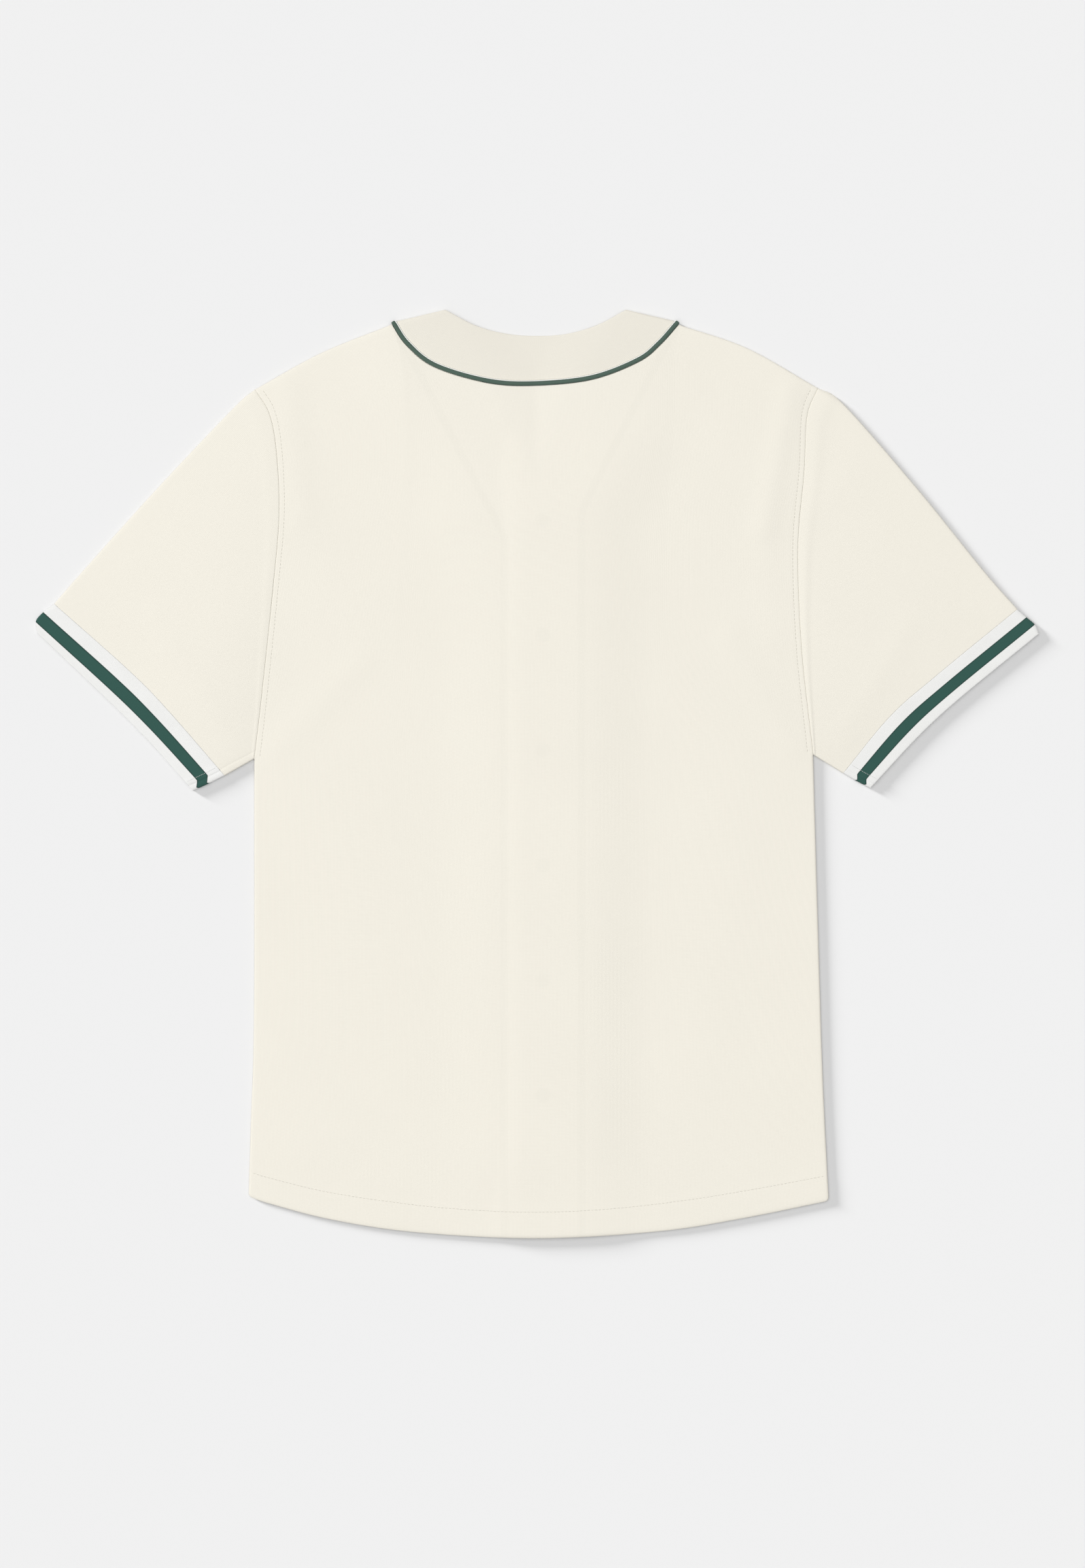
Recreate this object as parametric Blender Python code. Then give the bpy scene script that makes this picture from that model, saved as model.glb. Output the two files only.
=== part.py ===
"""Short-sleeved jersey with a button front, laid flat on its front.

The surface it lies on is z = 0, the back of the garment faces up, the neck points to +Y and the
wearer's left is at -X. Sizes and places are in millimetres until a mesh is made from them.
"""

from bisect import bisect_left
from collections import namedtuple
from itertools import accumulate
from math import cos, exp, pi, sin

import bmesh
import bpy
from mathutils import Vector

MM = 0.001

# Cloth: the wall of every cut piece, the gap at a seam and the room between front and back
WALL = 1.0
SEAM = 0.3
LAYER_GAP = 0.5
# How far in from a side or shoulder the back turns down over the front
EDGE_ROLL = 2.5

# Front bands: from each piping to the band's free edge, and from the button line to each piping
BAND_WIDTH = 46.0
PLACKET_X = 4.5
PLACKET_HALF = 32.0
NECK_BEND_REACH = 30.0
FRONT_HEM_RISE = 4.0

PIPING_WIDTH = 3.4
PIPING_HEIGHT = 2.2
PIPING_SIDES = 8
PIPING_END = 1.2

BUTTON_DIAMETER = 11.5
BUTTON_THICK = 2.0
BUTTON_RIM = 1.5
BUTTON_SLOPE = 0.6
BUTTON_DISH = 0.5
BUTTON_EDGE = 0.5
BUTTON_SIDES = 16
BUTTON_COUNT = 6
BUTTON_TOP_Y = 211.0
BUTTON_PITCH = 95.5

# Heights of the cloth over the surface, at the V of the neck and over the buttons
V_LIFT = 1.3
PLACKET_LIFT = 2.3
LIFT_FALL = 60.0
FREE_EDGE_FALL = 45.0
V_SAG_REACH = 50.0
PLACKET_START_Y = 200.0
OVERLAP_START_Y = 245.0
SLEEVE_LOFT = 1.4
TAPE_PROUD = 0.2

SIDES = ("left", "right")
SIGN = {"left": -1, "right": 1}

# Facets: steps of a curve between two rows of its table, of a sleeve and a cuff along their length
CURVE_STEPS = 8
SLEEVE_STEPS = 9
CUFF_STEPS = 3
SHARP_ANGLE = 0.6

# Outline seen from above, one row for each point of a smooth curve. Columns: x, y.
HEM = (
    (-239.8, -350.5),
    (-222.0, -356.6),
    (-170.0, -370.0),
    (-100.0, -380.4),
    (0.0, -385.3),
    (100.0, -379.6),
    (170.0, -368.8),
    (241.9, -354.2),
)
SIDE_SEAM = {
    "left": ((-239.8, -350.5), (-237.9, -290.0), (-235.3, -200.0), (-235.1, 12.7)),
    "right": ((241.9, -354.2), (236.8, -249.0), (232.9, -125.0), (228.9, 16.1)),
}
ARMHOLE = {
    "left": ((-235.1, 12.7), (-228.9, 65.0), (-219.3, 156.0), (-214.4, 215.0), (-216.5, 267.0),
             (-222.5, 299.0), (-234.6, 319.2)),
    "right": ((228.9, 16.1), (219.3, 104.0), (216.2, 188.0), (221.4, 251.0), (223.8, 297.0),
              (232.8, 320.4)),
}
SHOULDER = {
    "left": ((-234.6, 319.2), (-180.4, 349.1), (-119.4, 374.3)),
    "right": ((232.8, 320.4), (174.0, 353.5), (116.0, 374.3)),
}
NECK_SEAM = (
    (-119.4, 374.3),
    (-107.5, 357.0),
    (-84.4, 339.0),
    (-39.2, 325.9),
    (2.0, 324.4),
    (46.0, 329.2),
    (83.3, 343.5),
    (100.5, 357.0),
    (116.0, 374.3),
)
NECK_EDGE = (
    (-76.6, 385.3),
    (-51.0, 372.2),
    (-26.0, 365.6),
    (0.0, 363.8),
    (25.0, 365.6),
    (50.0, 372.8),
    (73.7, 385.3),
)
V_POINT = (-1.0, 239.0)
SLEEVE_FOLD = {
    "left": ((-234.6, 319.2), (-252.1, 304.0), (-316.4, 236.2), (-377.4, 168.5), (-401.1, 141.4)),
    "right": ((232.8, 320.4), (254.0, 307.0), (315.9, 236.2), (370.6, 168.5), (398.3, 136.9)),
}
SLEEVE_SEAM = {
    "left": ((-235.1, 12.7), (-259.5, -1.2)),
    "right": ((228.9, 16.1), (253.7, 0.8)),
}
CUFF_SEAM = {
    "left": ((-401.1, 141.4), (-339.0, 86.1), (-307.4, 53.9), (-259.5, -1.2)),
    "right": ((398.3, 136.9), (329.4, 80.4), (292.4, 47.7), (253.7, 0.8)),
}
CUFF_FOLD = {
    "left": ((-409.6, 135.0), (-416.4, 127.0), (-415.0, 117.0)),
    "right": ((405.0, 130.9), (413.0, 124.0), (416.4, 116.6)),
}
CUFF_UNDER = {
    "left": ((-272.0, -7.4), (-285.9, -13.8)),
    "right": ((264.5, -5.4), (276.3, -11.6)),
}
CUFF_EDGE = {
    "left": ((-415.0, 117.0), (-334.8, 39.8), (-285.9, -13.8)),
    "right": ((416.4, 116.6), (333.3, 47.7), (276.3, -11.6)),
}

# Soft folds of the back, each a low ridge between two points
Fold = namedtuple("Fold", "x1 y1 x2 y2 spread height")
BACK_FOLDS = (
    Fold(x1=212.0, y1=318.0, x2=196.0, y2=170.0, spread=13.0, height=1.5),
    Fold(x1=-208.0, y1=322.0, x2=-196.0, y2=215.0, spread=14.0, height=1.1),
    Fold(x1=-217.0, y1=20.0, x2=-150.0, y2=90.0, spread=15.0, height=0.9),
    Fold(x1=212.0, y1=24.0, x2=160.0, y2=110.0, spread=15.0, height=0.9),
)

# Surface finishes. Columns: red, green, blue, roughness.
FINISHES = {
    "cream_cloth": (0.88, 0.85, 0.74, 0.85),
    "striped_tape": (0.90, 0.90, 0.88, 0.80),
    "green_piping": (0.04, 0.10, 0.08, 0.70),
    "button_plastic": (0.05, 0.12, 0.10, 0.35),
}


class Track:
    """A curve in the plane, read by its share of length from 0 to 1."""

    def __init__(self, points):
        self.points = [Vector(point) for point in points]
        steps = [(b - a).length for a, b in zip(self.points, self.points[1:])]
        self.marks = [0.0, *accumulate(steps)]

    def __call__(self, share):
        length = min(max(share, 0.0), 1.0) * self.marks[-1]
        index = min(max(bisect_left(self.marks, length), 1), len(self.points) - 1)
        start, end = self.marks[index - 1], self.marks[index]
        return self.points[index - 1].lerp(self.points[index], (length - start) / (end - start))

    def normal(self, share, reach=0.004):
        """The unit vector to the left of the way the curve runs."""
        step = self(share + reach) - self(share - reach)
        return Vector((-step.y, step.x)).normalized()

    def y_at(self, x):
        """The y of a curve that runs towards +X."""
        index = max(1, min(bisect_left([point.x for point in self.points], x), len(self.points) - 1))
        start, end = self.points[index - 1:index + 1]
        return start.lerp(end, (x - start.x) / (end.x - start.x)).y


def smooth(rows, steps=CURVE_STEPS):
    """A curve through the rows of a table."""
    knots = [Vector(row) for row in rows]
    knots = [2 * knots[0] - knots[1], *knots, 2 * knots[-1] - knots[-2]]
    points = []
    for a, b, c, d in zip(knots, knots[1:], knots[2:], knots[3:]):
        for step in range(steps):
            t = step / steps
            cubic = 2 * a - 5 * b + 4 * c - d + t * (3 * (b - c) + d - a)
            points.append(b + 0.5 * t * (c - a + t * cubic))
    return Track([*points, knots[-2]])


def bend(start, corner, end, reach, steps=CURVE_STEPS):
    """Two straight runs with a round corner."""
    start, corner, end = Vector(start), Vector(corner), Vector(end)
    before = corner + (start - corner).normalized() * reach
    after = corner + (end - corner).normalized() * reach
    shares = [step / steps for step in range(steps + 1)]
    turn = [before.lerp(corner, t).lerp(corner.lerp(after, t), t) for t in shares]
    return Track([start, *turn, end])


def beside(track, distance):
    """A line that keeps its distance from a track, to the left for a positive one."""
    return lambda share: track(share) + track.normal(share) * distance


def backward(line):
    return lambda share: line(1.0 - share)


def joined(*pieces):
    """One line from several. Each row is a line and the share of the whole where it ends."""
    def point(share):
        begin = 0.0
        for line, finish in pieces:
            if share <= finish:
                break
            begin = finish
        return line(min((share - begin) / (finish - begin), 1.0))
    return point


def patch(bottom, top, left, right):
    """The area between four curves, as a function of u across and v along."""
    def point(u, v):
        edges = bottom(u) * (1 - v) + top(u) * v + left(v) * (1 - u) + right(v) * u
        corners = (bottom(0) * (1 - u) * (1 - v) + bottom(1) * u * (1 - v)
                   + top(0) * (1 - u) * v + top(1) * u * v)
        return edges - corners
    return point


def stations(*spans):
    """Shares from 0 to 1. Each row is where a span ends and its number of steps."""
    marks = [0.0]
    for end, count in spans:
        start = marks[-1]
        marks += [start + (end - start) * (step + 1) / count for step in range(count)]
    return marks


def ramp(distance, width):
    """1 up to distance 0, then a smooth fall to 0 at the given width."""
    share = min(max(distance / width, 0.0), 1.0)
    return 0.5 + 0.5 * cos(pi * share)


# Lines of the front bands

def seam_x(side):
    return PLACKET_X + SIGN[side] * PLACKET_HALF


def free_x(side):
    return seam_x(side) - SIGN[side] * BAND_WIDTH


def neck_point(side):
    return Vector(NECK_EDGE[0] if side == "left" else NECK_EDGE[-1])


def neck_slope(side):
    """The direction of the V, from the neck point down."""
    return (Vector(V_POINT) - neck_point(side)).normalized()


def neck_normal(side):
    """Square to the V, away from its opening."""
    slope = neck_slope(side)
    return Vector((SIGN[side] * -slope.y, -abs(slope.x)))


def down_to(start, slope, x):
    """The point where a line meets an upright line."""
    return start + slope * ((x - start.x) / slope.x)


def band_seam(side, hem):
    """The line of the piping, from the hem to the shoulder."""
    top = Vector(SHOULDER[side][-1])
    x = seam_x(side)
    return bend((x, hem.y_at(x) + FRONT_HEM_RISE), down_to(top, neck_slope(side), x), top, NECK_BEND_REACH)


def band_edge(side, hem):
    """The free edge of the band, from the hem to the neck point."""
    x = free_x(side)
    corner = down_to(neck_point(side), neck_slope(side), x)
    return bend((x, hem.y_at(x) + FRONT_HEM_RISE), corner, neck_point(side), NECK_BEND_REACH)


# Heights of the underside of each layer

def full_lift(side, y):
    """Height of a band over the surface. The right one lies on the left one below the V."""
    lift = V_LIFT + (PLACKET_LIFT - V_LIFT) * ramp(y - PLACKET_START_Y, LIFT_FALL)
    if side == "right":
        lift += (WALL + SEAM) * ramp(y - OVERLAP_START_Y, LIFT_FALL)
    return lift


def front_height(side, x, y):
    """Underside of a front and its band: level on the band, then falling to the surface."""
    from_placket = SIGN[side] * (x - seam_x(side))
    from_v = (Vector((x, y)) - Vector(SHOULDER[side][-1])).dot(neck_normal(side))
    return full_lift(side, y) * ramp(min(from_placket, from_v), LIFT_FALL)


def v_depth(x, y):
    """How far a place is inside the opening of the V."""
    place = Vector((x, y))
    return min((neck_point(side) - place).dot(neck_normal(side)) for side in SIDES)


def fold_height(folds, x, y):
    """The sum of the soft folds at a place."""
    total = 0.0
    for fold in folds:
        start, end = Vector((fold.x1, fold.y1)), Vector((fold.x2, fold.y2))
        along = (Vector((x, y)) - start).dot(end - start) / (end - start).length_squared
        nearest = start.lerp(end, min(max(along, 0.0), 1.0))
        off = (Vector((x, y)) - nearest).length / fold.spread
        total += fold.height * exp(-off * off)
    return total


def back_height(x, y):
    """Underside of the back and the neck band, over whatever lies below."""
    covers = []
    for side in SIDES:
        past_edge = SIGN[side] * (free_x(side) - x)
        covers.append(front_height(side, x, y) * ramp(past_edge, FREE_EDGE_FALL))
    over_front = max(covers) + WALL + LAYER_GAP - SEAM
    return SEAM + over_front * ramp(v_depth(x, y), V_SAG_REACH)


# Making objects

def material(name):
    red, green, blue, roughness = FINISHES[name]
    made = bpy.data.materials.get(name) or bpy.data.materials.new(name)
    made.use_nodes = True
    shader = made.node_tree.nodes["Principled BSDF"]
    shader.inputs["Base Color"].default_value = (red, green, blue, 1.0)
    shader.inputs["Roughness"].default_value = roughness
    made.diffuse_color = (red, green, blue, 1.0)
    return made


def finished(name, mesh, finish):
    """Turns a bmesh in millimetres into an object in metres."""
    bmesh.ops.scale(mesh, vec=(MM, MM, MM), verts=mesh.verts)
    bmesh.ops.recalc_face_normals(mesh, faces=mesh.faces)
    data = bpy.data.meshes.new(name)
    mesh.to_mesh(data)
    mesh.free()
    data.shade_smooth()
    data.set_sharp_from_angle(angle=SHARP_ANGLE)
    data.materials.append(material(finish))
    thing = bpy.data.objects.new(name, data)
    bpy.context.scene.collection.objects.link(thing)
    return thing


def sheet(name, underside, columns, rows, finish):
    """A cloth wall. underside(u, v) gives its lower face at each column and row."""
    mesh = bmesh.new()
    across, along = len(columns) - 1, len(rows) - 1
    bmesh.ops.create_grid(mesh, x_segments=across, y_segments=along, size=0.5)
    for vert in mesh.verts:
        u = columns[round((vert.co.x + 0.5) * across)]
        v = rows[round((vert.co.y + 0.5) * along)]
        vert.co = underside(u, v)
    raised = bmesh.ops.extrude_face_region(mesh, geom=mesh.faces[:])["geom"]
    top = [item for item in raised if isinstance(item, bmesh.types.BMVert)]
    bmesh.ops.translate(mesh, verts=top, vec=(0.0, 0.0, WALL))
    return finished(name, mesh, finish)


def skin(name, rings, finish, hollow):
    """A surface drawn from ring to ring. A hollow one comes back to its first ring, the other is capped."""
    mesh = bmesh.new()
    place = mesh.verts.layers.int.new("place")
    verts = [mesh.verts.new(point) for point in rings[0]]
    for index, vert in enumerate(verts):
        vert[place] = index
    first = [mesh.edges.new(pair) for pair in zip(verts, verts[1:] + verts[:1])]
    edges = first
    for ring in [*rings[1:], *([rings[0]] if hollow else [])]:
        drawn = bmesh.ops.extrude_edge_only(mesh, edges=edges)["geom"]
        edges = [item for item in drawn if isinstance(item, bmesh.types.BMEdge)]
        for vert in (item for item in drawn if isinstance(item, bmesh.types.BMVert)):
            vert.co = ring[vert[place]]
    if hollow:
        bmesh.ops.remove_doubles(mesh, verts=mesh.verts, dist=0.001)
    else:
        bmesh.ops.contextual_create(mesh, geom=first)
        bmesh.ops.contextual_create(mesh, geom=edges)
    return finished(name, mesh, finish)


# The cut pieces

def outline():
    """The seam lines that the pieces share."""
    lines = {"hem": smooth(HEM), "neck": smooth(NECK_SEAM), "neck_edge": smooth(NECK_EDGE)}
    tables = {
        "side": SIDE_SEAM, "armhole": ARMHOLE, "shoulder": SHOULDER, "fold": SLEEVE_FOLD,
        "under": SLEEVE_SEAM, "cuff_seam": CUFF_SEAM, "cuff_edge": CUFF_EDGE,
    }
    for name, table in tables.items():
        for side in SIDES:
            lines[name, side] = smooth(table[side])
    for side in SIDES:
        lines["band_seam", side] = band_seam(side, lines["hem"])
        lines["band_edge", side] = band_edge(side, lines["hem"])
    return lines


# Shares of the back's width at the two ends of the neck, and of a side's length at the underarm
NECK_LEFT = 0.25
NECK_RIGHT = 0.74
UNDERARM = 0.52
BACK_WIDTH = 475.0
SIDE_LENGTH = 690.0
ROLL_DROP = WALL + LAYER_GAP - SEAM
UNDER_ROLL = EDGE_ROLL + SEAM
BESIDE_PIPING = PIPING_WIDTH / 2 + SEAM

# Steps that neighbours share, so that their facets run side by side along a seam
NECK_STEPS = 16
ARM_STEPS = 11
SIDE_STEPS = 10


def side_rows(inset):
    """Shares along a side, from the hem to the underarm and on to a place just short of the shoulder."""
    return stations((UNDERARM, SIDE_STEPS), (1.0 - inset / SIDE_LENGTH, ARM_STEPS))


def arm_shares():
    """Shares along an armhole from the shoulder down, at the rows of the back."""
    rows = [*side_rows(EDGE_ROLL)[SIDE_STEPS:], 1.0]
    return [1.0 - (row - UNDERARM) / (1.0 - UNDERARM) for row in reversed(rows)]


def back_panel(lines):
    neck = beside(lines["neck"], -BESIDE_PIPING)
    shoulders = {
        side: smooth((*SHOULDER[side][:-1], neck(0.0 if side == "left" else 1.0))) for side in SIDES
    }
    sides = {
        side: joined((lines["side", side], UNDERARM),
                     (beside(lines["armhole", side], SIGN[side] * SEAM / 2), 1.0))
        for side in SIDES
    }
    top = joined((shoulders["left"], NECK_LEFT), (neck, NECK_RIGHT), (backward(shoulders["right"]), 1.0))
    area = patch(lines["hem"], top, sides["left"], sides["right"])

    def underside(u, v):
        place = area(u, v)
        at_side = u in (0.0, 1.0) and v < UNDERARM
        at_shoulder = v == 1.0 and not NECK_LEFT <= u <= NECK_RIGHT
        height = back_height(place.x, place.y) + fold_height(BACK_FOLDS, place.x, place.y)
        if at_side or at_shoulder:
            height -= ROLL_DROP
        return place.x, place.y, height

    roll = EDGE_ROLL / BACK_WIDTH
    columns = stations((roll, 1), (NECK_LEFT, 6), (NECK_RIGHT, NECK_STEPS), (1.0 - roll, 6), (1.0, 1))
    return sheet("back_panel", underside, columns, [*side_rows(EDGE_ROLL), 1.0], "cream_cloth")


def front_panel(side, lines):
    """From the side to the front band. It stops short of the shoulder, under the roll of the back."""
    sign = SIGN[side]
    inner = beside(lines["band_seam", side], -sign * BESIDE_PIPING)
    seam = beside(lines["side", side], sign * UNDER_ROLL)
    armhole = beside(lines["armhole", side], sign * SEAM / 2)
    top = smooth((armhole(1.0), SHOULDER[side][1], inner(1.0)))
    start_x, end_x = seam(0.0).x, inner(0.0).x

    def hem(share):
        x = start_x + (end_x - start_x) * share
        return Vector((x, lines["hem"].y_at(x) + FRONT_HEM_RISE))

    side_seam = smooth((hem(0.0), seam(0.2), seam(0.6), seam(1.0)))
    area = patch(hem, top, joined((side_seam, UNDERARM), (armhole, 1.0)), inner)

    def underside(u, v):
        place = area(u, v)
        return place.x, place.y, front_height(side, place.x, place.y)

    columns = stations((0.5, 4), (1.0, 7))
    return sheet(f"front_{side}", underside, columns, side_rows(UNDER_ROLL), "cream_cloth")


def band_rows():
    """Shares along a front band, from the hem to the shoulder, at the rows of the front."""
    return [*side_rows(UNDER_ROLL)[:-1], 1.0]


def front_band(side, lines):
    """From the hem to the shoulder, between the piping and the free edge."""
    seam = beside(lines["band_seam", side], SIGN[side] * BESIDE_PIPING)
    edge = lines["band_edge", side]

    def underside(u, v):
        place = seam(v).lerp(edge(v), u)
        return place.x, place.y, front_height(side, place.x, place.y)

    return sheet(f"front_band_{side}", underside, stations((1.0, 2)), band_rows(), "cream_cloth")


def neck_band(lines):
    """Round the back of the neck, from one shoulder to the other."""
    seam = beside(lines["neck"], BESIDE_PIPING)
    edge = lines["neck_edge"]

    def underside(u, v):
        place = seam(u).lerp(edge(u), v)
        return place.x, place.y, back_height(place.x, place.y)

    return sheet("neck_band_back", underside, stations((1.0, NECK_STEPS)), stations((1.0, 2)), "cream_cloth")


def cloth_tube(name, area, sections, loft, proud, finish):
    """A flattened tube. area(u, v) runs from its folded edge to its seam, and along its length."""
    height = 2 * WALL + LAYER_GAP

    def ring(v, inset):
        """The outer ring has inset 0, the inner one has the wall."""
        width = (area(0.0, v) - area(1.0, v)).length
        tuck = (inset + height / 2) / width
        upper, lower = [], []
        for share in arm_shares():
            place = area(min(max(share, tuck), 1.0 - tuck), v)
            rise = loft * sin(pi * share) * sin(pi * v)
            upper.append((place.x, place.y, height + proud + rise - inset))
            lower.append((place.x, place.y, inset))
        seam, fold = area(1.0 - inset / width, v), area(inset / width, v)
        return [*upper, (seam.x, seam.y, height / 2), *lower[::-1], (fold.x, fold.y, height / 2)]

    rings = [ring(v, 0.0) for v in sections] + [ring(v, WALL) for v in reversed(sections)]
    return skin(name, rings, finish, hollow=True)


def sleeve(side, lines):
    armhole = backward(beside(lines["armhole", side], -SIGN[side] * SEAM / 2))
    area = patch(armhole, lines["cuff_seam", side], lines["fold", side], lines["under", side])
    return cloth_tube(f"sleeve_{side}", area, stations((1.0, SLEEVE_STEPS)), SLEEVE_LOFT, 0.0, "cream_cloth")


def cuff_tape(side, lines):
    seam = beside(lines["cuff_seam", side], SIGN[side] * SEAM)
    fold = smooth((seam(0.0), *CUFF_FOLD[side]))
    under = smooth((seam(1.0), *CUFF_UNDER[side]))
    area = patch(seam, lines["cuff_edge", side], fold, under)
    return cloth_tube(f"cuff_tape_{side}", area, stations((1.0, CUFF_STEPS)), 0.0, TAPE_PROUD, "striped_tape")


def piping(name, track, middle, shares, overhang):
    """A cord in a seam. middle(place) gives its height, overhang says how far each end stands out."""
    turns = [2 * pi * step / PIPING_SIDES for step in range(PIPING_SIDES)]
    reach = {0.0: -overhang[0], 1.0: overhang[1]}

    def ring(share):
        across = track.normal(share)
        along = Vector((across.y, -across.x))
        place = track(share)
        height = middle(place)
        centre = place + along * reach.get(share, 0.0)
        points = []
        for turn in turns:
            spot = centre + across * (cos(turn) * PIPING_WIDTH / 2)
            points.append((spot.x, spot.y, height + sin(turn) * PIPING_HEIGHT / 2))
        return points

    return skin(name, [ring(share) for share in shares], "green_piping", hollow=False)


def pipings(lines):
    piping("piping_back_neck", lines["neck"], lambda place: back_height(place.x, place.y) + WALL,
           stations((1.0, NECK_STEPS)), (PIPING_END, PIPING_END))
    for side in SIDES:
        piping(f"piping_front_{side}", lines["band_seam", side],
               lambda place, side=side: front_height(side, place.x, place.y), band_rows(), (0.0, PIPING_END))


def button(number):
    """A dished disc, its outer face down."""
    mesh = bmesh.new()
    radius = BUTTON_DIAMETER / 2
    bmesh.ops.create_cone(mesh, cap_ends=True, segments=BUTTON_SIDES, radius1=radius, radius2=radius,
                          depth=BUTTON_THICK)
    outer = min(mesh.faces, key=lambda face: face.calc_center_median().z)
    bmesh.ops.inset_region(mesh, faces=[outer], thickness=BUTTON_RIM)
    bmesh.ops.inset_region(mesh, faces=[outer], thickness=BUTTON_SLOPE)
    bmesh.ops.translate(mesh, verts=outer.verts, vec=(0.0, 0.0, BUTTON_DISH))
    rims = [edge for edge in mesh.edges
            if all(abs(vert.co.xy.length - radius) < BUTTON_EDGE / 2 for vert in edge.verts)
            and edge.verts[0].co.z * edge.verts[1].co.z > 0]
    bmesh.ops.bevel(mesh, geom=rims, offset=BUTTON_EDGE, segments=1, profile=0.5, affect="EDGES", material=-1)
    y = BUTTON_TOP_Y - (number - 1) * BUTTON_PITCH
    bmesh.ops.translate(mesh, verts=mesh.verts, vec=(PLACKET_X, y, BUTTON_THICK / 2))
    return finished(f"button_{number}", mesh, "button_plastic")


def main():
    for thing in list(bpy.data.objects):
        bpy.data.objects.remove(thing)
    lines = outline()
    back_panel(lines)
    neck_band(lines)
    for side in SIDES:
        front_panel(side, lines)
        front_band(side, lines)
        sleeve(side, lines)
        cuff_tape(side, lines)
    pipings(lines)
    for number in range(1, BUTTON_COUNT + 1):
        button(number)


main()
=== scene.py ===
"""Looks of a short-sleeved jersey with a button front, laid flat on its front.

The back of the garment faces up, the neck points to +Y and the wearer's left is at -X. Sizes and places
are in millimetres until a mesh is made from them, and the settings in the panel are in metres.
"""

from bisect import bisect_left
from collections import namedtuple
from itertools import accumulate
from math import ceil, cos, exp, pi, sin, sqrt

import bmesh
import bpy
from bpy.props import FloatProperty, FloatVectorProperty, PointerProperty
from mathutils import Matrix, Vector


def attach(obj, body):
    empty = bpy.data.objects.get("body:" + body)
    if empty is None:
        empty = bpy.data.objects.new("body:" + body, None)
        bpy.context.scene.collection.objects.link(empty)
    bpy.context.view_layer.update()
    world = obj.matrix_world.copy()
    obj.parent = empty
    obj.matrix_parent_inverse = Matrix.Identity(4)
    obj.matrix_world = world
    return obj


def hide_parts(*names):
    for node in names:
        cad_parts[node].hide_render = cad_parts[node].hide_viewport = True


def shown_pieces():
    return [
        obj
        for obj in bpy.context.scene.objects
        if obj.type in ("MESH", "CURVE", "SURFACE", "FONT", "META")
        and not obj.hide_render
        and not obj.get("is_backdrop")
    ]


bl_info = {
    "name": "Laid-flat jersey",
    "version": (1, 0, 0),
    "blender": (4, 5, 0),
    "location": "View3D > Sidebar > Jersey",
    "description": "Cloth, tape, piping, buttons and sewing of a jersey around its solid frame",
    "category": "Object",
}

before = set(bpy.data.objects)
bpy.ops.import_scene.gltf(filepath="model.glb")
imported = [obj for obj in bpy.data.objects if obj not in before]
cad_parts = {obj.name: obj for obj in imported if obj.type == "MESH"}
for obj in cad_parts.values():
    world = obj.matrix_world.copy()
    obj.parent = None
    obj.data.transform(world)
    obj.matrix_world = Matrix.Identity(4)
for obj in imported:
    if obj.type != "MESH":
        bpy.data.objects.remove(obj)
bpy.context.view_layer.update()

MM = 0.001

# Cloth: the wall of every cut piece, the gap at a seam of the solids, the closer gap at a seam of the
# looks and the room between front and back
WALL = 1.0
SEAM = 0.3
SEWN_GAP = 0.08
LAYER_GAP = 0.5

# Edges: the reach of their roll, the height where a rolled edge ends, the outer face of the fronts over
# the solids' underside, and the round lower corners of the back
EDGE_ROLL = 2.0
ROLLED_EDGE_Z = 1.0
FACE_LIFT = 0.25
CORNER_RADIUS = 3.0
EDGE_BEVEL = 0.22
BEVEL_ANGLE = 1.1

# Front bands: from each piping to the band's free edge, and from the button line to each piping
BAND_WIDTH = 46.0
PLACKET_X = 4.5
PLACKET_HALF = 32.0
NECK_BEND_REACH = 30.0
FRONT_HEM_RISE = 4.0

PIPING_HEIGHT = 2.2
PIPING_END = 1.2

BUTTON_COUNT = 6
BUTTON_TOP_Y = 211.0
BUTTON_PITCH = 95.5
BUTTON_FACE_Z = 0.05
HOLE_OFF = 1.15
HOLE_RADIUS = 0.6

# Heights of the cloth over the surface, at the V of the neck and over the buttons
V_LIFT = 1.3
PLACKET_LIFT = 2.3
LIFT_FALL = 60.0
FREE_EDGE_FALL = 45.0
V_SAG_REACH = 50.0
PLACKET_START_Y = 200.0
HEM_LEVEL_Y = -375.0
HEM_SETTLE_REACH = 85.0
HEM_SETTLE = 0.85
OVERLAP_START_Y = 245.0
SLEEVE_LOFT = 1.4
TAPE_PROUD = 0.2

SIDES = ("left", "right")
SIGN = {"left": -1, "right": 1}

# Outline seen from above, one row for each point of a smooth curve. Columns: x, y.
HEM = (
    (-239.8, -350.5),
    (-222.0, -356.6),
    (-170.0, -370.0),
    (-100.0, -380.4),
    (0.0, -385.3),
    (100.0, -379.6),
    (170.0, -368.8),
    (241.9, -354.2),
)
SIDE_SEAM = {
    "left": ((-239.8, -350.5), (-237.9, -290.0), (-235.3, -200.0), (-235.1, 12.7)),
    "right": ((241.9, -354.2), (236.8, -249.0), (232.9, -125.0), (228.9, 16.1)),
}
ARMHOLE = {
    "left": ((-235.1, 12.7), (-228.9, 65.0), (-219.3, 156.0), (-214.4, 215.0), (-216.5, 267.0),
             (-222.5, 299.0), (-234.6, 319.2)),
    "right": ((228.9, 16.1), (219.3, 104.0), (216.2, 188.0), (221.4, 251.0), (223.8, 297.0),
              (232.8, 320.4)),
}
SHOULDER = {
    "left": ((-234.6, 319.2), (-180.4, 349.1), (-119.4, 374.3)),
    "right": ((232.8, 320.4), (174.0, 353.5), (116.0, 374.3)),
}
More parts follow.
